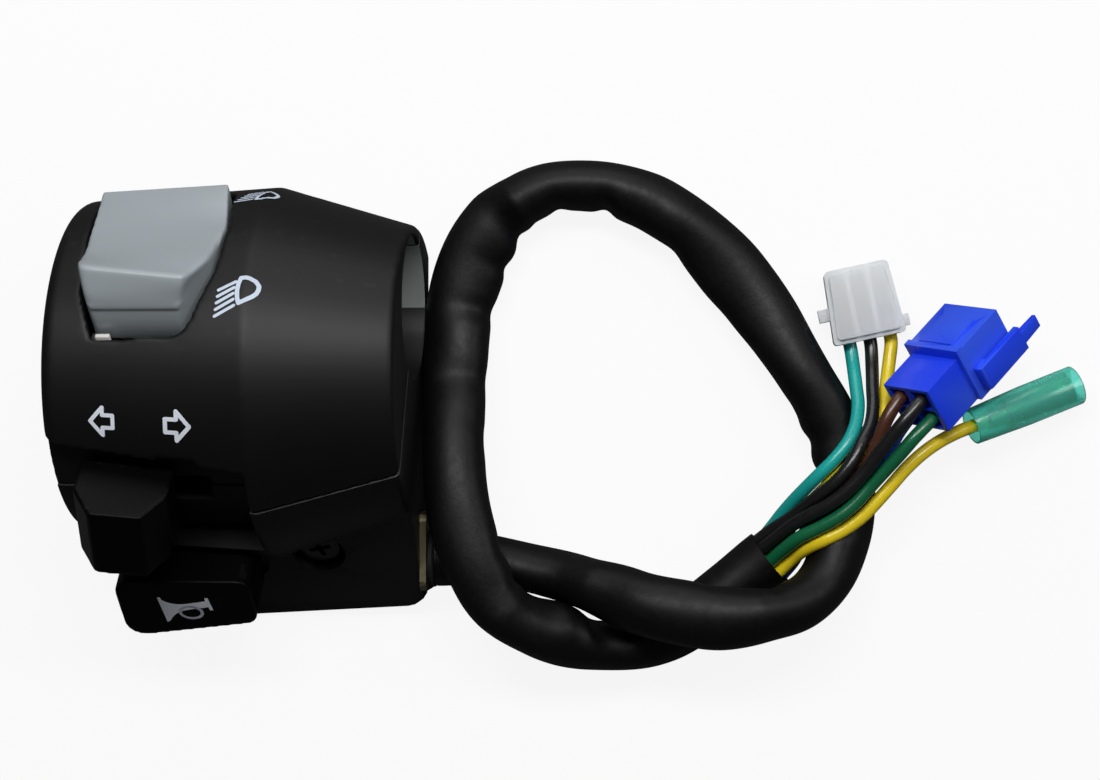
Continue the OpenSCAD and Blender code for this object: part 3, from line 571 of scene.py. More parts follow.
def softened(
    node: str, width: float, finish: Finish, segments: int = 3, angle: float = 28.0
) -> bpy.types.Object:
    """Copies a solid with its edges rounded, and lets the copy stand for it.

    Args:
        node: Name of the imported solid.
        width: Width of the rounding, in metres.
        finish: Finish of the copy.
        segments: Steps across each rounding.
        angle: Least angle of a rounded edge, in degrees.

    Returns:
        The rounded copy, riding with the solid's body.
    """
    piece = merged_copy(node)
    edit_all(piece, bpy.ops.mesh.dissolve_limited, angle_limit=FLAT_ANGLE)
    apply_modifier(
        piece, "BEVEL", width=width, segments=segments, limit_method="ANGLE",
        angle_limit=math.radians(angle), use_clamp_overlap=True, miter_outer="MITER_ARC",
    )
    smooth(piece, 40.0)
    return standing_for(piece, node, finish)


def moulded(node: str, cell: float, rounds: int, finish: Finish) -> bpy.types.Object:
    """Copies a solid as an even mesh with soft moulded edges, and lets the copy stand for it.

    Args:
        node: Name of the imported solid.
        cell: Size of the mesh's squares, in metres.
        rounds: Rounds of smoothing, which set how soft the edges are.
        finish: Finish of the copy.

    Returns:
        The soft-edged copy, riding with the solid's body.
    """
    piece = merged_copy(node)
    apply_modifier(piece, "REMESH", mode="VOXEL", voxel_size=cell, use_smooth_shade=True)
    apply_modifier(piece, "SMOOTH", factor=0.5, iterations=rounds)
    smooth(piece, 60.0)
    return standing_for(piece, node, finish)


def dressed(node: str, finish: Finish) -> bpy.types.Object:
    """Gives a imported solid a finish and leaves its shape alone.

    Args:
        node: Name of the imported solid.
        finish: Its finish.

    Returns:
        The solid's object.
    """
    piece = frame["nodes"][node]
    finish.dress(piece)
    LOG.info("%s dressed in %s", node, finish.name)
    return piece


# ---------------------------------------------------------------- symbols


@dataclass
class Ink:
    """Flat strokes and fills of one printed symbol, in millimetres, right and up."""

    name: str
    parts: list[bpy.types.Object] = field(default_factory=list)
    cell: float = 0.5
    corners: int = 14

    def stroke(self, points: list[Flat], width: float, closed: bool = False) -> None:
        """Adds a round-ended stroke.

        Args:
            points: Corners of the stroke.
            width: Width of the stroke.
            closed: Whether the last corner joins the first.
        """
        ends = points[1:] + points[:1] if closed else points[1:]
        for a, b in zip(points, ends):
            run = Vector((b[0] - a[0], b[1] - a[1], 0))
            deselect()
            bpy.ops.mesh.primitive_grid_add(
                x_subdivisions=max(2, round(run.length / self.cell)), y_subdivisions=2, size=1,
                location=((a[0] + b[0]) / 2, (a[1] + b[1]) / 2, 0),
                rotation=(0, 0, math.atan2(run.y, run.x)),
            )
            ribbon = bpy.context.object
            ribbon.scale = (run.length, width, 1)
            self.parts.append(ribbon)
        for x, y in points:
            deselect()
            bpy.ops.mesh.primitive_circle_add(
                vertices=self.corners, radius=width / 2, fill_type="TRIFAN", location=(x, y, 0)
            )
            self.parts.append(bpy.context.object)

    def fill(self, points: list[Flat]) -> None:
        """Adds a filled outline.

        Args:
            points: Corners of the outline.
        """
        mesh = bpy.data.meshes.new(self.name)
        mesh.from_pydata([(x, y, 0) for x, y in points], [], [list(range(len(points)))])
        shape = bpy.data.objects.new(self.name, mesh)
        bpy.context.scene.collection.objects.link(shape)
        edit_all(shape, bpy.ops.mesh.quads_convert_to_tris)
        self.parts.append(shape)

    def lay(self, rule: Callable[[Vector], Vector], finish: Finish, body: str) -> None:
        """Joins the strokes and lays them on a surface.

        Args:
            rule: Gives a flat point its place on the surface, in metres.
            finish: Paint of the symbol.
            body: Body that the symbol moves with.
        """
        piece = join(self.parts, self.name)
        move_points(piece, rule)
        edit_all(piece, bpy.ops.mesh.remove_doubles, threshold=1e-7)
        finish.dress(piece)
        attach(piece, body)
        LOG.info("%s laid with %d faces", piece.name, len(piece.data.polygons))


# ---------------------------------------------------------------- casing


@dataclass
class Casing:
    """The two shells, their screws and the printed symbols."""

    drop: float = 10 * MM
    setback: float = 3 * MM
    left: float = -26 * MM
    right: float = 26 * MM
    end_r: float = 27 * MM
    crease_r: float = 28.9 * MM
    collar_r: float = 23 * MM
    crease_x: float = 5 * MM
    bore_r: float = 11.4 * MM
    bore_lip: float = 0.8 * MM
    # Lowest height of the bore's painted lit grey; below it the bore keeps the black as painted
    # shade.
    lit_grey_from: float = 0.5 * MM
    ink_lift: float = 0.05 * MM
    cell: float = 0.40 * MM
    rounds: int = 5
    edge: float = 0.45 * MM
    chin_slope: float = 46.0
    screw_x: float = 10.5 * MM
    screw_along: float = 19.6 * MM
    screw_top: float = 19.5 * MM
    recess: Place = (3.6 * MM, 0.8 * MM, 1.8 * MM)
    recess_turn: float = 0.3

    def radius(self, x: float) -> float:
        """Radius of the casing at a place along the bar."""
        if x < self.crease_x:
            t = (x - self.left) / (self.crease_x - self.left)
            return self.end_r + (self.crease_r - self.end_r) * t
        t = (x - self.crease_x) / (self.right - self.crease_x)
        return self.crease_r + (self.collar_r - self.crease_r) * t

    def on_face(
        self, x: float, angle: float, tilt: float = 0.0, scale: float = 1.0
    ) -> Callable[[Vector], Vector]:
        """Makes the rule that wraps a flat symbol on the casing.

        Args:
            x: Place of the symbol's middle along the bar, in millimetres.
            angle: Its angle above the casing's front, in degrees.
            tilt: Turn of the symbol, in degrees.
            scale: Size of the symbol.

        Returns:
            The rule.
        """
        turn = Matrix.Rotation(math.radians(tilt), 3, "Z")

        def rule(flat: Vector) -> Vector:
            p = turn @ flat * scale * MM
            along = x * MM + p.x
            r = self.radius(along) + self.ink_lift
            a = math.radians(angle) + p.y / self.radius(x * MM)
            return Vector((along, r * math.sin(a) - self.drop, r * math.cos(a) - self.setback))

        return rule

    def build(self) -> None:
        """Builds the casing's pieces."""
        self.paint_bore_light_and_shade(moulded("front_shell", self.cell, self.rounds, CASING))
        self.paint_bore_light_and_shade(softened("rear_shell", self.edge, CASING, 3, 30.0))
        self.build_beams()
        self.build_arrows()
        self.build_screws()
        dressed("retainer_plate", PLATE)
        softened("grommet", 0.4 * MM, RUBBER)

    def paint_bore_light_and_shade(self, shell: bpy.types.Object) -> None:
        """Gives the upper half of the bar's saddle a grey as its painted lit side, and leaves the
        lower half in the casing's black as painted shade.

        Args:
            shell: The shell to dress.
        """
        shell.data.materials.append(BORE.material())
        for face in shell.data.polygons:
            x, y, z = face.center
            # Grey above, black below: painted light and painted shade in the bore.
            lit_grey = math.hypot(y, z) < self.bore_r and y > self.lit_grey_from
            if lit_grey and self.left + self.bore_lip < x < self.right - self.bore_lip:
                face.material_index = 1

    def build_beams(self) -> None:
        """Prints the high-beam and low-beam symbols."""
        lamp = [
            (0.4, 3.0), (1.1, 3.05), (1.7, 2.95), (2.6, 2.5), (3.1, 1.8), (3.05, 1.1), (2.8, 0.5),
            (2.2, -0.05), (1.2, -0.65), (0.35, -1.05), (0.1, -0.2), (0.0, 0.9), (0.1, 2.0),
        ]
        high = Ink("high_beam_symbol")
        high.stroke(lamp, 0.66, True)
        for i in range(5):
            near = (-0.55 + 0.06 * (i - 2) ** 2, 2.4 - 0.95 * i)
            high.stroke([(-2.8 - 0.07 * i, 1.1 - 1.03 * i), near], 0.48)
        high.lay(self.on_face(x=3.7, angle=22.0), PAINT, "housing")
        low = Ink("low_beam_symbol")
        low.stroke(lamp, 0.6, True)
        for i in range(5):
            near = (-0.55 + 0.06 * (i - 2) ** 2, 3.0 - 1.0 * i)
            low.stroke([(-2.4 - 0.12 * i, 1.5 - 1.0 * i), near], 0.42)
        low.lay(self.on_face(x=3.2, angle=67.0, tilt=-14.0, scale=0.9), PAINT, "housing")

    def build_arrows(self) -> None:
        """Prints the two outlined arrows."""
        arrow = [
            (-1.55, 0), (0.15, 1.95), (0.15, 0.88), (1.6, 0.88), (1.6, -0.88), (0.15, -0.88),
            (0.15, -1.95),
        ]
        left = Ink("left_arrow")
        left.stroke(arrow, 0.56, True)
        place = self.on_face(x=-16.5, angle=-15.5, tilt=-2.0, scale=1.08)
        left.lay(place, BRIGHT_PAINT, "housing")
        right = Ink("right_arrow")
        right.stroke([(-x, y) for x, y in arrow], 0.56, True)
        place = self.on_face(x=-5.0, angle=-16.6, tilt=-2.0, scale=1.15)
        right.lay(place, BRIGHT_PAINT, "housing")

    def build_screws(self) -> None:
        """Dresses the screws, with a cross recess in the one that shows."""
        screw = softened("carrier_screw", 0.35 * MM, DARK_STEEL)
        rise = math.sin(math.radians(self.chin_slope))
        run = math.cos(math.radians(self.chin_slope))
        out = Vector((0, -rise, run))
        fall, back = self.screw_along * run, self.screw_along * rise
        seat = Vector((self.screw_x, -self.drop - fall, -self.setback - back))
        place = Matrix.Translation(seat + out * self.screw_top)
        turn = out.to_track_quat("Z", "Y").to_matrix().to_4x4()
        for spin in (self.recess_turn, self.recess_turn + math.pi / 2):
            deselect()
            bpy.ops.mesh.primitive_cube_add(size=1)
            blade = bpy.context.object
            slot = Matrix.Rotation(spin, 4, "Z") @ Matrix.Diagonal((*self.recess, 1))
            blade.matrix_world = place @ turn @ slot
            apply_modifier(screw, "BOOLEAN", object=blade, operation="DIFFERENCE", solver="EXACT")
            bpy.data.objects.remove(blade)
        smooth(screw, 40.0)
        softened("case_screws", 0.3 * MM, DARK_STEEL)


# ---------------------------------------------------------------- switches


@dataclass
class Dimmer:
    """The tipping rocker and what is under it."""

    cell: float = 0.22 * MM
    rounds: int = 16
    cap_rounds: int = 60
    cap_height: float = 4.2 * MM
    angle: float = 42.0
    half_width: float = 10.6 * MM
    off_middle: float = 0.6 * MM
    ridge_along: Flat = (-2 * MM, -11 * MM)
    ridge_height: Flat = (5 * MM, 8.2 * MM)
    edge_along: Flat = (4 * MM, 12.5 * MM)
    edge_height: Flat = (-1 * MM, 2 * MM)
    ridge_drop: float = -0.15 * MM
    ridge_lean: float = 0.9 * MM
    ridge_fall: float = 0.55 * MM
    edge_rise: float = 0.35 * MM
    edge_lean: float = 0.75 * MM

    def shape_cap(self, rocker: bpy.types.Object) -> None:
        """Slopes the rocker's ridge and upper edge, and rounds it more above its band line.

        Args:
            rocker: The rocker's copy.
        """
        low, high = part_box("dimmer_pin")
        pivot = (Vector(low) + Vector(high)) / 2
        turn = math.radians(self.angle)
        out = Vector((0, math.sin(turn), math.cos(turn)))
        up = Vector((0, math.cos(turn), -math.sin(turn)))

        def slope(place: Vector) -> Vector:
            across = (place.x - pivot.x + self.off_middle) / self.half_width
            along, height = (place - pivot).dot(up), (place - pivot).dot(out)
            ridge = ease(along, *self.ridge_along) * ease(height, *self.ridge_height)
            edge = ease(along, *self.edge_along) * ease(height, *self.edge_height)
            rise = edge * (self.edge_rise + self.edge_lean * across)
            fall = ridge * self.ridge_fall * across
            drop = ridge * (self.ridge_drop + self.ridge_lean * across)
            return place + out * (rise - fall) - up * drop

        cap = rocker.vertex_groups.new(name="cap")
        heights = [(v.co - pivot).dot(out) for v in rocker.data.vertices]
        cap.add([i for i, h in enumerate(heights) if h > self.cap_height], 1.0, "REPLACE")
        move_points(rocker, slope)
        apply_modifier(
            rocker, "SMOOTH", factor=0.5, iterations=self.cap_rounds, vertex_group=cap.name
        )

    def build(self) -> None:
        """Builds the dimmer's pieces."""
        self.shape_cap(moulded("dimmer_rocker", self.cell, self.rounds, ROCKER))
        dressed("dimmer_pin", STEEL)
        softened("dimmer_base", 0.3 * MM, WHITE)
        dressed("dimmer_studs", BRASS)
        dressed("dimmer_strip", BRASS)
        dressed("dimmer_leaf", STEEL)


@dataclass
class TurnSwitch:
    """The sliding knob and its works."""

    cell: float = 0.25 * MM
    rounds: int = 12

    def build(self) -> None:
        """Builds the turn switch's pieces."""
        moulded("turn_knob", self.cell, self.rounds, GLOSSY)
        softened("turn_slider", 0.3 * MM, WHITE)
        dressed("turn_ball", STEEL)
        dressed("turn_spring", STEEL)
        dressed("turn_bridge", BRASS)
        dressed("turn_board", BOARD)
        dressed("turn_rivets", BRASS)


@dataclass
class Horn:
    """The horn button with its printed sign, spring and contacts."""

    cell: float = 0.25 * MM
    rounds: int = 10
    slope: float = 46.0
    travel: float = 2.0 * MM
    face: Place = (-9 * MM, -46.744 * MM, 3.29 * MM)
    ink_lift: float = 0.03 * MM
    loop_middle: Flat = (0.55, -0.75)
    loop_size: Flat = (1.75, 1.4)
    loop_sides: int = 20

    def on_button(self) -> Callable[[Vector], Vector]:
        """Makes the rule that lays a flat sign on the button's face.

        Returns:
            The rule.
        """
        turn = Matrix.Rotation(math.radians(self.slope), 3, "X")
        start = Vector(self.face) + turn @ Vector((0, 0, self.ink_lift))
        return lambda flat: turn @ (flat * MM) + start

    def build_spring(self) -> None:
        """Builds the return spring."""
        spring = standing_for(merged_copy("horn_spring"), "horn_spring", STEEL)
        smooth(spring, 50.0)
        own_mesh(spring)

    def build(self) -> None:
        """Builds the horn's pieces."""
        moulded("horn_button", self.cell, self.rounds, GLOSSY)
        sign = Ink("horn_symbol")
        sign.fill([
            (-4.2, 2.8), (-3.75, 2.95), (-3.6, 2.3), (-3.0, 1.8), (-2.1, 1.4), (-1.2, 1.25),
            (-0.2, 1.3), (1.8, 1.7), (3.2, 2.05), (3.25, 2.75), (3.75, 2.85), (4.15, -0.1),
            (3.65, -0.2), (3.5, 0.6), (2.6, 0.4), (1.8, 0.3), (-0.6, -0.3), (-1.8, -1.0),
            (-2.6, -1.9), (-3.05, -2.75), (-3.65, -3.15),
        ])
        (x, y), (wide, high) = self.loop_middle, self.loop_size
        turns = [2 * math.pi * i / self.loop_sides for i in range(self.loop_sides)]
        sign.stroke([(x + wide * math.cos(t), y + high * math.sin(t)) for t in turns], 0.5, True)
        sign.lay(self.on_button(), BRIGHT_PAINT, "horn")
        self.build_spring()
        dressed("horn_blade", BRASS)
        dressed("horn_stud", BRASS)


# ---------------------------------------------------------------- harness


@dataclass
class Sleeve:
    """The soft tube over the wires, creased on the inside of its bends."""

    diameter: float = 9.6 * MM
    sides: int = 40
    step: float = 0.6 * MM
    crease: float = 1.55 * MM
    mouth: float = 12 * MM
    reach: int = 6
    full_bend: float = 0.12
    least_fold: float = 0.6
    section: float = 21.5 * MM * MM
    ripple: float = 0.12 * MM
    lips: tuple[Flat, ...] = ((0.94, 0.0), (0.92, 3.5 * MM))

    def route(self) -> list[Place]:
        """Places that the tube passes, in metres."""
        points = [
            (28.2, -39.5, -10.2), (33, -39.5, -10.2), (38, -40, -10.2), (43.6, -41.2, -10),
            (49.3, -42.4, -8.6), (55.1, -43.8, -4.8), (61.7, -45.8, -1), (68.2, -47, 0.5),
            (74.3, -47.6, 0.4), (80, -47, -1), (85.8, -45.4, -3.5), (90.3, -41.6, -7),
            (92.6, -36, -9.5), (93, -30, -10.2), (92.1, -24, -10.2), (89.8, -17, -10.2),
            (86.6, -11.2, -10.2), (83.7, -6.5, -10.2), (80.7, -1.8, -10.2), (77.2, 2.9, -10.2),
            (73.4, 7.6, -10.2), (68.9, 12.1, -10.2), (64.8, 15.2, -10.2), (60.4, 17.5, -10.2),
            (54, 19.3, -10.2), (47.7, 19.4, -10.2), (42.6, 17.8, -10.2), (38.6, 14.8, -10.2),
            (35.5, 11, -10.2), (33.3, 6.3, -10.2), (31.8, 0.7, -10), (31.4, -6.5, -8.6),
            (31.4, -14.4, -6.2), (31.7, -22.2, -3.2), (32.3, -28.3, -1.2), (33.6, -34.4, -0.1),
            (35.7, -40.2, 0), (38.7, -45.8, -1), (42.6, -49.7, -3.4), (47.5, -52.2, -6.4),
            (53.2, -53.2, -9.2), (59.6, -52.8, -10.2), (64.8, -51, -10.2), (69.6, -48, -10.2),
            (74, -44.6, -10.2), (78.2, -41.2, -10.15), (80.8, -39.15, -9.95),
        ]
        return [(x * MM, y * MM, z * MM) for x, y, z in points]

    def girth(self, run: float) -> float:
        """Half width of the tube at a length along it, in metres."""
        knots = [
            (0, 4.6), (12, 3.9), (24, 4.2), (34, 4.9), (46, 5.2), (58, 4.2), (70, 3.8), (92, 4.7),
            (102, 4.5), (122, 5.6), (136, 4.7), (152, 4.1), (160, 4.3), (166, 5.4), (175, 5.7),
            (188, 5.3), (200, 5.0), (216, 5.2), (226, 4.9), (238, 3.7), (248, 3.8), (262, 4.7),
            (274, 4.7), (281, 4.85),
        ]
        for (a, wide), (b, wider) in zip(knots, knots[1:]):
            if run / MM <= b:
                t = (run / MM - a) / (b - a)
                return (wide + (wider - wide) * t * t * (3 - 2 * t)) * MM
        return knots[-1][1] * MM

    def crease_at(self, run: float) -> float:
        """Depth of the creases at a length along the tube, less than 0 where it bulges."""
        creases = [
            (46, 0.35, 2.2), (57, 0.5, 1.8), (72, -1.1, 6.0), (86, 0.45, 1.7), (92, 0.6, 1.8),
            (99, 0.3, 2.4), (118, 0.25, 3.0), (131, 0.3, 2.6), (146, 0.55, 1.7), (155, 0.35, 1.8),
            (165, 0.75, 1.9), (172, 0.35, 1.6), (181, 0.4, 2.0), (193, 0.85, 2.6), (203, 0.3, 2.4),
            (222, 0.4, 2.0), (228, 0.5, 1.6), (241, -1.7, 7.0), (255, 0.3, 2.0),
        ]
        at = run / MM
        return sum(depth * math.exp(-((at - mid) / width) ** 2) for mid, depth, width in creases)

    def ring(self, path: list[Vector], i: int, run: float, length: float) -> list[Vector]:
        """Places one ring of the tube's skin.

        Args:
            path: Middle line of the tube.
            i: Which place of the path the ring is at.
            run: Length along the tube there, in metres.
            length: Length of the whole tube, in metres.

        Returns:
            The ring's places, creased on the inside of a bend.
        """
        centre, last = path[i], len(path) - 1
        back, ahead = path[max(i - self.reach, 0)], path[min(i + self.reach, last)]
        head = (ahead - back).normalized()
        side = Vector((0, 0, 1)).cross(head).normalized()
        up = head.cross(side)
        bend = Vector()
        if self.reach <= i <= last - self.reach:
            bend = (ahead - centre).normalized() - (centre - back).normalized()
        inward = bend.normalized() if bend.length > 1e-6 else Vector()
        tight = min(1.0, bend.length / self.full_bend)
        fold = self.crease * self.crease_at(run) * max(tight, self.least_fold)
        wide = self.girth(run)
        mouth = max(0.0, 1 - (length - run) / self.mouth)
        high = min(self.diameter / 2, self.section / wide)
        high += (self.diameter / 2 - high) * mouth
        low = centre - Vector((0, 0, self.diameter / 2 - high))
        wide, high = wide - self.ripple, high - self.ripple
        places = []
        for k in range(self.sides):
            t = 2 * math.pi * k / self.sides
            out = side * math.cos(t) + up * math.sin(t)
            facing = max(0.0, 0.8 * out.dot(inward) + 0.2) ** 1.5
            wave = math.sin(3 * t + run / (7 * MM)) * math.sin(run / (11 * MM) + 0.6 * math.cos(t))
            rim = side * math.cos(t) * wide + up * math.sin(t) * high
            places.append(low + rim + out * (self.ripple * wave - fold * facing))
        return places

    def skin(self, path: list[Vector]) -> bpy.types.Object:
        """Makes the tube's skin, with a lip turned into its open end.

        Args:
            path: Middle line of the tube.

        Returns:
            The tube, without a finish.
        """
        length, run, sides = run_of(path), 0.0, self.sides
        verts: list[Vector] = []
        for i, centre in enumerate(path):
            run += (centre - path[i - 1]).length if i else 0.0
            verts += self.ring(path, i, run, length)
        head = (path[-1] - path[-2]).normalized()
        rim = verts[-sides:]
        centre = sum(rim, Vector()) / sides
        for inset, depth in self.lips:
            verts += [centre + (v - centre) * inset - head * depth for v in rim]
        starts = range(0, len(verts), sides)
        faces = [
            [a + k, a + (k + 1) % sides, b + (k + 1) % sides, b + k]
            for a, b in zip(starts, starts[1:]) for k in range(sides)
        ]
        faces.append(list(range(sides))[::-1])
        faces.append([starts[-1] + k for k in range(sides)])
        mesh = bpy.data.meshes.new("harness_tube")
        mesh.from_pydata([tuple(v) for v in verts], [], faces)
        tube = bpy.data.objects.new("harness_tube", mesh)
        bpy.context.scene.collection.objects.link(tube)
        edit_all(tube, bpy.ops.mesh.normals_make_consistent, inside=False)
        smooth(tube, 55.0)
        return tube

    def build(self) -> None:
        path = through(self.route(), self.step)
        length = run_of(path)
        tube = self.skin(path)
        SLEEVE.dress(tube)
        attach(tube, "housing")
        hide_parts("harness_sleeve")
        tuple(self.route()[0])
        LOG.info("harness tube of %.0f mm", length / MM)


@dataclass
class Wire:
    """One wire from the sleeve's end to its connector."""

    node: str
    colour: Colour
    points: list[Place]
    diameter: float = 2.1 * MM
    step: float = 0.5 * MM
    roundness: int = 5

    def build(self, plug: bpy.types.Object) -> None:
        """Args:
            plug: The connector on its end; not used.
        """
        path = through([(x * MM, y * MM, z * MM) for x, y, z in self.points], self.step)
        line = bpy.data.curves.new(f"{self.node}_lead", "CURVE")
        line.dimensions = "3D"
        line.bevel_depth = self.diameter / 2
        line.bevel_resolution = self.roundness
        line.use_fill_caps = True
        spline = line.splines.new("POLY")
        spline.points.add(len(path) - 1)
        for point, place in zip(spline.points, path):
            point.co = (*place, 1)
        spline.use_smooth = True
        lead = bpy.data.objects.new(f"{self.node}_lead", line)
        bpy.context.scene.collection.objects.link(lead)
        wire_finish(f"{self.node}_vinyl", self.colour).dress(lead)
        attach(lead, "housing")
        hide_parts(self.node)
        run_of(path)
        LOG.info("%s of %.0f mm", lead.name, run_of(path) / MM)


@dataclass
class Harness:
    """The sleeve, the wires and the connectors."""

    teal: Colour = (0.012, 0.44, 0.40)
    black: Colour = (0.010, 0.010, 0.011)
    yellow: Colour = (1.0, 0.76, 0.02)
    brown: Colour = (0.085, 0.030, 0.016)
    green: Colour = (0.006, 0.14, 0.055)
    blue: Colour = (0.012, 0.08, 0.63)

    def build(self) -> None:
        """Builds the harness."""
        Sleeve().build()
        white = softened("white_connector", 0.45 * MM, MILKY)
        blue = softened("blue_connector", 0.4 * MM, BLUE)
        softened("blue_lever", 0.35 * MM, BLUE)
        bullet = softened("bullet_sleeve", 0.35 * MM, GREEN)
        for node in ("white_terminals", "blue_terminals", "bullet_terminal"):
            dressed(node, BRASS)
        for wire, plug in self.wires(white, blue, bullet):
            wire.build(plug)

    def wires(
        self, white: bpy.types.Object, blue: bpy.types.Object, bullet: bpy.types.Object
    ) -> list[tuple[Wire, bpy.types.Object]]:
        """Lists the wires with their connectors.

        Args:
            white: The white connector.
            blue: The blue connector.
            bullet: The bullet sleeve.

        Returns:
            Each wire and the connector on its end.
        """
        return [
            (Wire("wire_teal", self.teal, [
                (76.1, -39.3, -11.9), (78, -37.8, -11.9), (79, -37, -11.9), (81, -34.5, -11),
                (82.7, -32.2, -9.3), (84.4, -30.1, -7.4), (86.2, -28.1, -5.5), (88.2, -26, -4),
                (90.5, -23.7, -3.6), (92.6, -21.1, -4), (93.9, -18.4, -5.2), (94.4, -15.4, -6.7),
                (94.2, -12.7, -8.5), (93.9, -9.9, -10.3), (93.5, -6.8, -11.4), (93.1, -4.9, -11.5),
            ]), white),
            (Wire("wire_black_upper", self.black, [
                (75.8, -39, -9.6), (77.7, -37.5, -9.6), (78.7, -36.6, -9.6), (81.2, -34.6, -8.3),
                (83.8, -32.8, -6.7), (86.2, -30.8, -5), (88.5, -28.9, -3.2), (91, -26.7, -2),
                (93.2, -24, -1.9), (94.8, -21, -2.8), (96.2, -18.2, -4.4), (96.7, -15.3, -6.3),
                (96.7, -12.5, -8.4), (96.7, -9.5, -10.3), (96.6, -6.2, -11.4), (96.3, -4.2, -11.5),
            ]), white),
            (Wire("wire_yellow_inner", self.yellow, [
                (77.3, -40.9, -13.4), (79.2, -39.4, -13.4), (80.2, -38.6, -13.4),
                (82.4, -36.4, -12), (84.1, -34.2, -10.3), (85.8, -31.8, -8.6), (87.7, -29.7, -6.7),
                (89.7, -27.6, -4.9), (92, -25.4, -4.2), (94.4, -23.1, -4.5), (96.5, -20.6, -5.5),
                (97.8, -17.9, -6.9), (98.6, -15, -8.4), (98.9, -11.9, -9.8), (99.3, -8.8, -10.8),
                (99.7, -5.5, -11.5), (99.4, -3.5, -11.5),
            ]), white),
            (Wire("wire_black_lower", self.black, [
                (76.6, -39.9, -7.6), (78.5, -38.4, -7.6), (79.5, -37.6, -7.6), (81.9, -35.6, -6.1),
                (84.3, -33.6, -4.4), (87, -31.9, -2.9), (89.8, -30.3, -1.7), (92.5, -28.2, -0.9),
                (94.9, -25.6, -0.3), (96.9, -22.9, 0.5), (98.9, -20.2, 1.5), (101, -17.5, 2.1),
                (103.2, -14.8, 1.5), (104.5, -13.5, 0.6),
            ]), blue),
            (Wire("wire_brown", self.brown, [
                (78.9, -42.9, -13), (80.8, -41.4, -13), (81.8, -40.6, -13), (84.1, -38.2, -11.7),
                (85.9, -35.7, -9.9), (87.2, -33.4, -7.5), (89, -31.2, -5.4), (91.6, -29, -4.3),
                (94, -26.6, -3.5), (95.9, -23.7, -2.6), (97.3, -20.5, -1.7), (98.5, -17.3, -1.2),
                (100.3, -14.3, -1.8), (101.6, -13, -2.7),
            ]), blue),
            (Wire("wire_green", self.green, [
                (78, -41.7, -6.9), (79.9, -40.2, -6.9), (80.9, -39.4, -6.9), (83, -37.4, -5.2),
                (85.3, -35.5, -3.5), (88.2, -34, -2.5), (91.1, -32.3, -1.8), (93.7, -30.2, -1.6),
                (96, -27.6, -1.5), (98.2, -25.1, -0.9), (100.4, -22.6, -0.1), (102.6, -20, 0.3),
                (104.9, -17.6, -0.4), (106.1, -16.3, -1.3),
            ]), blue),
            (Wire("wire_blue", self.blue, [
                (79.8, -44, -10.8), (81.7, -42.5, -10.8), (82.7, -41.7, -10.8),
                (84.6, -39.3, -9.6), (85.8, -36.7, -7.7), (87.6, -34.8, -5.6), (90.2, -32.9, -4.4),
                (92.9, -30.9, -4), (95.3, -28.6, -4.1), (97.2, -25.8, -3.8), (98.7, -22.8, -3.2),
                (100.1, -19.8, -3), (102, -17.1, -3.7), (103.2, -15.8, -4.5),
            ]), blue),
            (Wire("wire_yellow_outer", self.yellow, [
                (79.3, -43.4, -8), (81.2, -41.9, -8), (82.2, -41.1, -8), (84.4, -38.9, -6.7),
                (86.5, -37.2, -4.8), (89.2, -35.8, -3.5), (92.2, -34.2, -3.4), (94.9, -32.2, -3.3),
                (97.2, -29.8, -3.2), (99.4, -27.3, -3.3), (101.6, -24.8, -3.5),
                (104.1, -22.5, -3.9), (106.7, -20.7, -4.7), (109.5, -19.3, -5.9),
                (112.4, -18.2, -7.1), (114.2, -17.5, -7.7),
            ]), bullet),
        ]


# ---------------------------------------------------------------- studio


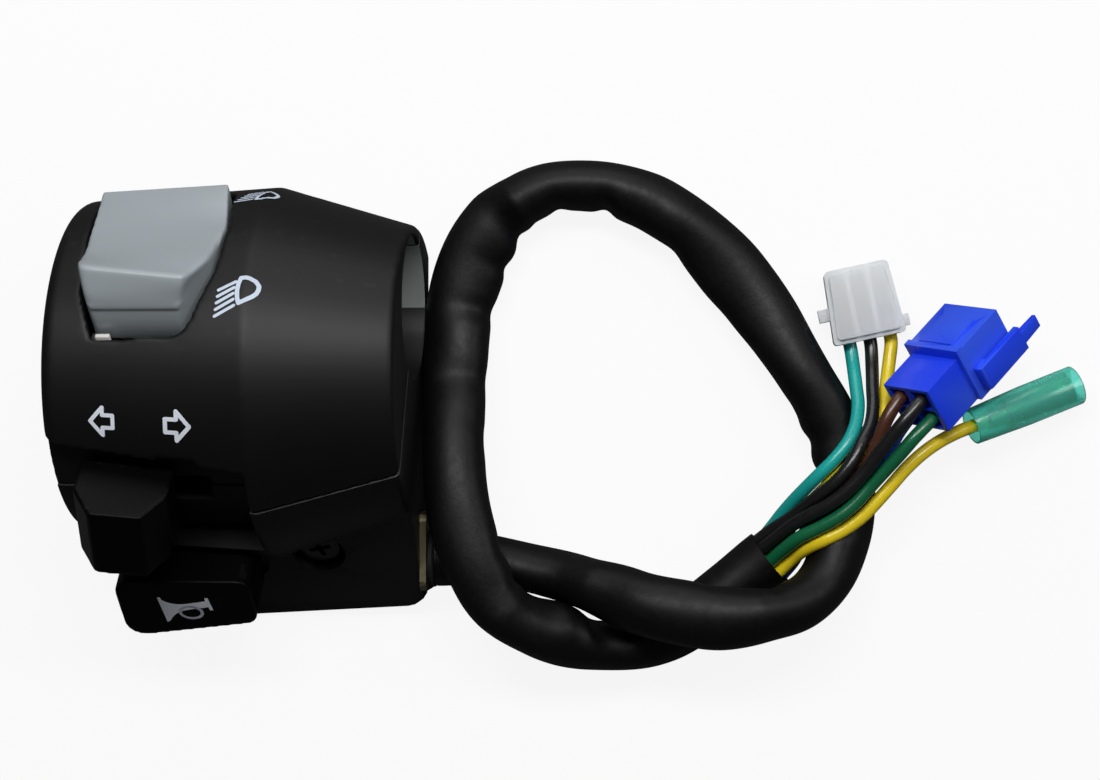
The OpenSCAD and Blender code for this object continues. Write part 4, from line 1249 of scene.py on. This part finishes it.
@dataclass
class Studio:
    """Camera, floor and lights."""

    yaw: float = 5.6
    height: float = 348.3 * MM
    across: float = 81.3 * MM
    down: float = -12.8 * MM
    focal_px: float = 2275.0
    photo_px: float = 1100.0
    sensor: float = 36.0
    floor_z: float = -15 * MM

    def build(self) -> None:
        """Sets up the view, the floor and the light."""
        self.build_camera()
        self.build_floor()
        self.build_lights()
        bpy.context.scene.view_settings.view_transform = "Standard"

    def build_camera(self) -> None:
        """Places the camera at the photograph's view."""
        lens = bpy.data.cameras.new("camera")
        lens.sensor_fit = "HORIZONTAL"
        lens.sensor_width = self.sensor
        lens.lens = self.focal_px / self.photo_px * self.sensor
        lens.clip_start = 0.01
        view = bpy.data.objects.new("camera", lens)
        a = math.radians(self.yaw)
        right, back = (math.cos(a), 0, -math.sin(a)), (math.sin(a), 0, math.cos(a))
        turn = Matrix((right, (0, 1, 0), back)).transposed().to_4x4()
        view.matrix_world = Matrix.Translation((self.across, self.down, self.height)) @ turn
        bpy.context.scene.collection.objects.link(view)
        bpy.context.scene.camera = view

    def build_floor(self) -> None:
        """Lays a pale floor that keeps the object's shadow."""
        deselect()
        bpy.ops.mesh.primitive_plane_add(size=6, location=(0.06, -0.02, self.floor_z - 0.05 * MM))
        floor = bpy.context.object
        floor.name = "floor"
        made = bpy.data.materials.new("floor_pale")
        made.use_nodes = True
        nodes, links = made.node_tree.nodes, made.node_tree.links
        shader = nodes["Principled BSDF"]
        shader.inputs["Roughness"].default_value = 0.9
        tone = nodes.new("ShaderNodeMix")
        tone.data_type = "RGBA"
        tone.inputs["A"].default_value = (0.10, 0.10, 0.10, 1)
        tone.inputs["B"].default_value = (0.86, 0.86, 0.86, 1)
        glow = nodes.new("ShaderNodeEmission")
        glow.inputs["Color"].default_value = (1, 1, 1, 1)
        ray = nodes.new("ShaderNodeLightPath")
        seen = nodes.new("ShaderNodeMath")
        seen.operation = "MAXIMUM"
        share = nodes.new("ShaderNodeMath")
        share.operation = "MULTIPLY"
        share.inputs[1].default_value = 0.90
        blend = nodes.new("ShaderNodeMixShader")
        links.new(ray.outputs["Is Camera Ray"], seen.inputs[0])
        links.new(ray.outputs["Is Transmission Ray"], seen.inputs[1])
        links.new(seen.outputs["Value"], tone.inputs["Factor"])
        links.new(tone.outputs["Result"], shader.inputs["Base Color"])
        links.new(seen.outputs["Value"], share.inputs[0])
        links.new(share.outputs["Value"], blend.inputs["Fac"])
        links.new(shader.outputs["BSDF"], blend.inputs[1])
        links.new(glow.outputs["Emission"], blend.inputs[2])
        links.new(blend.outputs["Shader"], nodes["Material Output"].inputs["Surface"])
        floor.data.materials.append(made)

    def lamp(self, name: str, place: Place, aim: Place, size: Flat, power: float) -> None:
        """Adds a soft box lamp.

        Args:
            name: Name of the lamp.
            place: Where it stands, in metres.
            aim: Where it points, in metres.
            size: Its width and height, in metres.
            power: Its power, in watts.
        """
        light = bpy.data.lights.new(name, "AREA")
        light.shape = "RECTANGLE"
        light.size, light.size_y = size
        light.energy = power
        lamp = bpy.data.objects.new(name, light)
        lamp.location = place
        lamp.rotation_euler = (Vector(aim) - Vector(place)).to_track_quat("-Z", "Y").to_euler()
        bpy.context.scene.collection.objects.link(lamp)

    def build_lights(self) -> None:
        """Hangs the soft boxes and sets the surrounding light."""
        self.lamp("top_box", (0.03, 0.305, 0.115), (0.03, -0.01, 0.0), (0.30, 0.16), 0.28)
        self.lamp("low_strip", (0.05, 0.178, 0.353), (0.03, -0.01, 0.0), (0.36, 0.08), 1.25)
        self.lamp("right_box", (0.45, 0.14, 0.26), (0.09, -0.02, 0.0), (0.15, 0.15), 0.36)
        world = bpy.data.worlds.new("studio")
        world.use_nodes = True
        world.node_tree.nodes["Background"].inputs["Color"].default_value = (0.85, 0.87, 0.9, 1)
        world.node_tree.nodes["Background"].inputs["Strength"].default_value = 0.07
        bpy.context.scene.world = world


def main() -> None:
    """Builds the studio and every sub-assembly."""
    logging.basicConfig(level=logging.INFO, format="%(message)s")
    Studio().build()
    Harness().build()
    Casing().build()
    Dimmer().build()
    TurnSwitch().build()
    Horn().build()


if __name__ == "__main__":
    main()
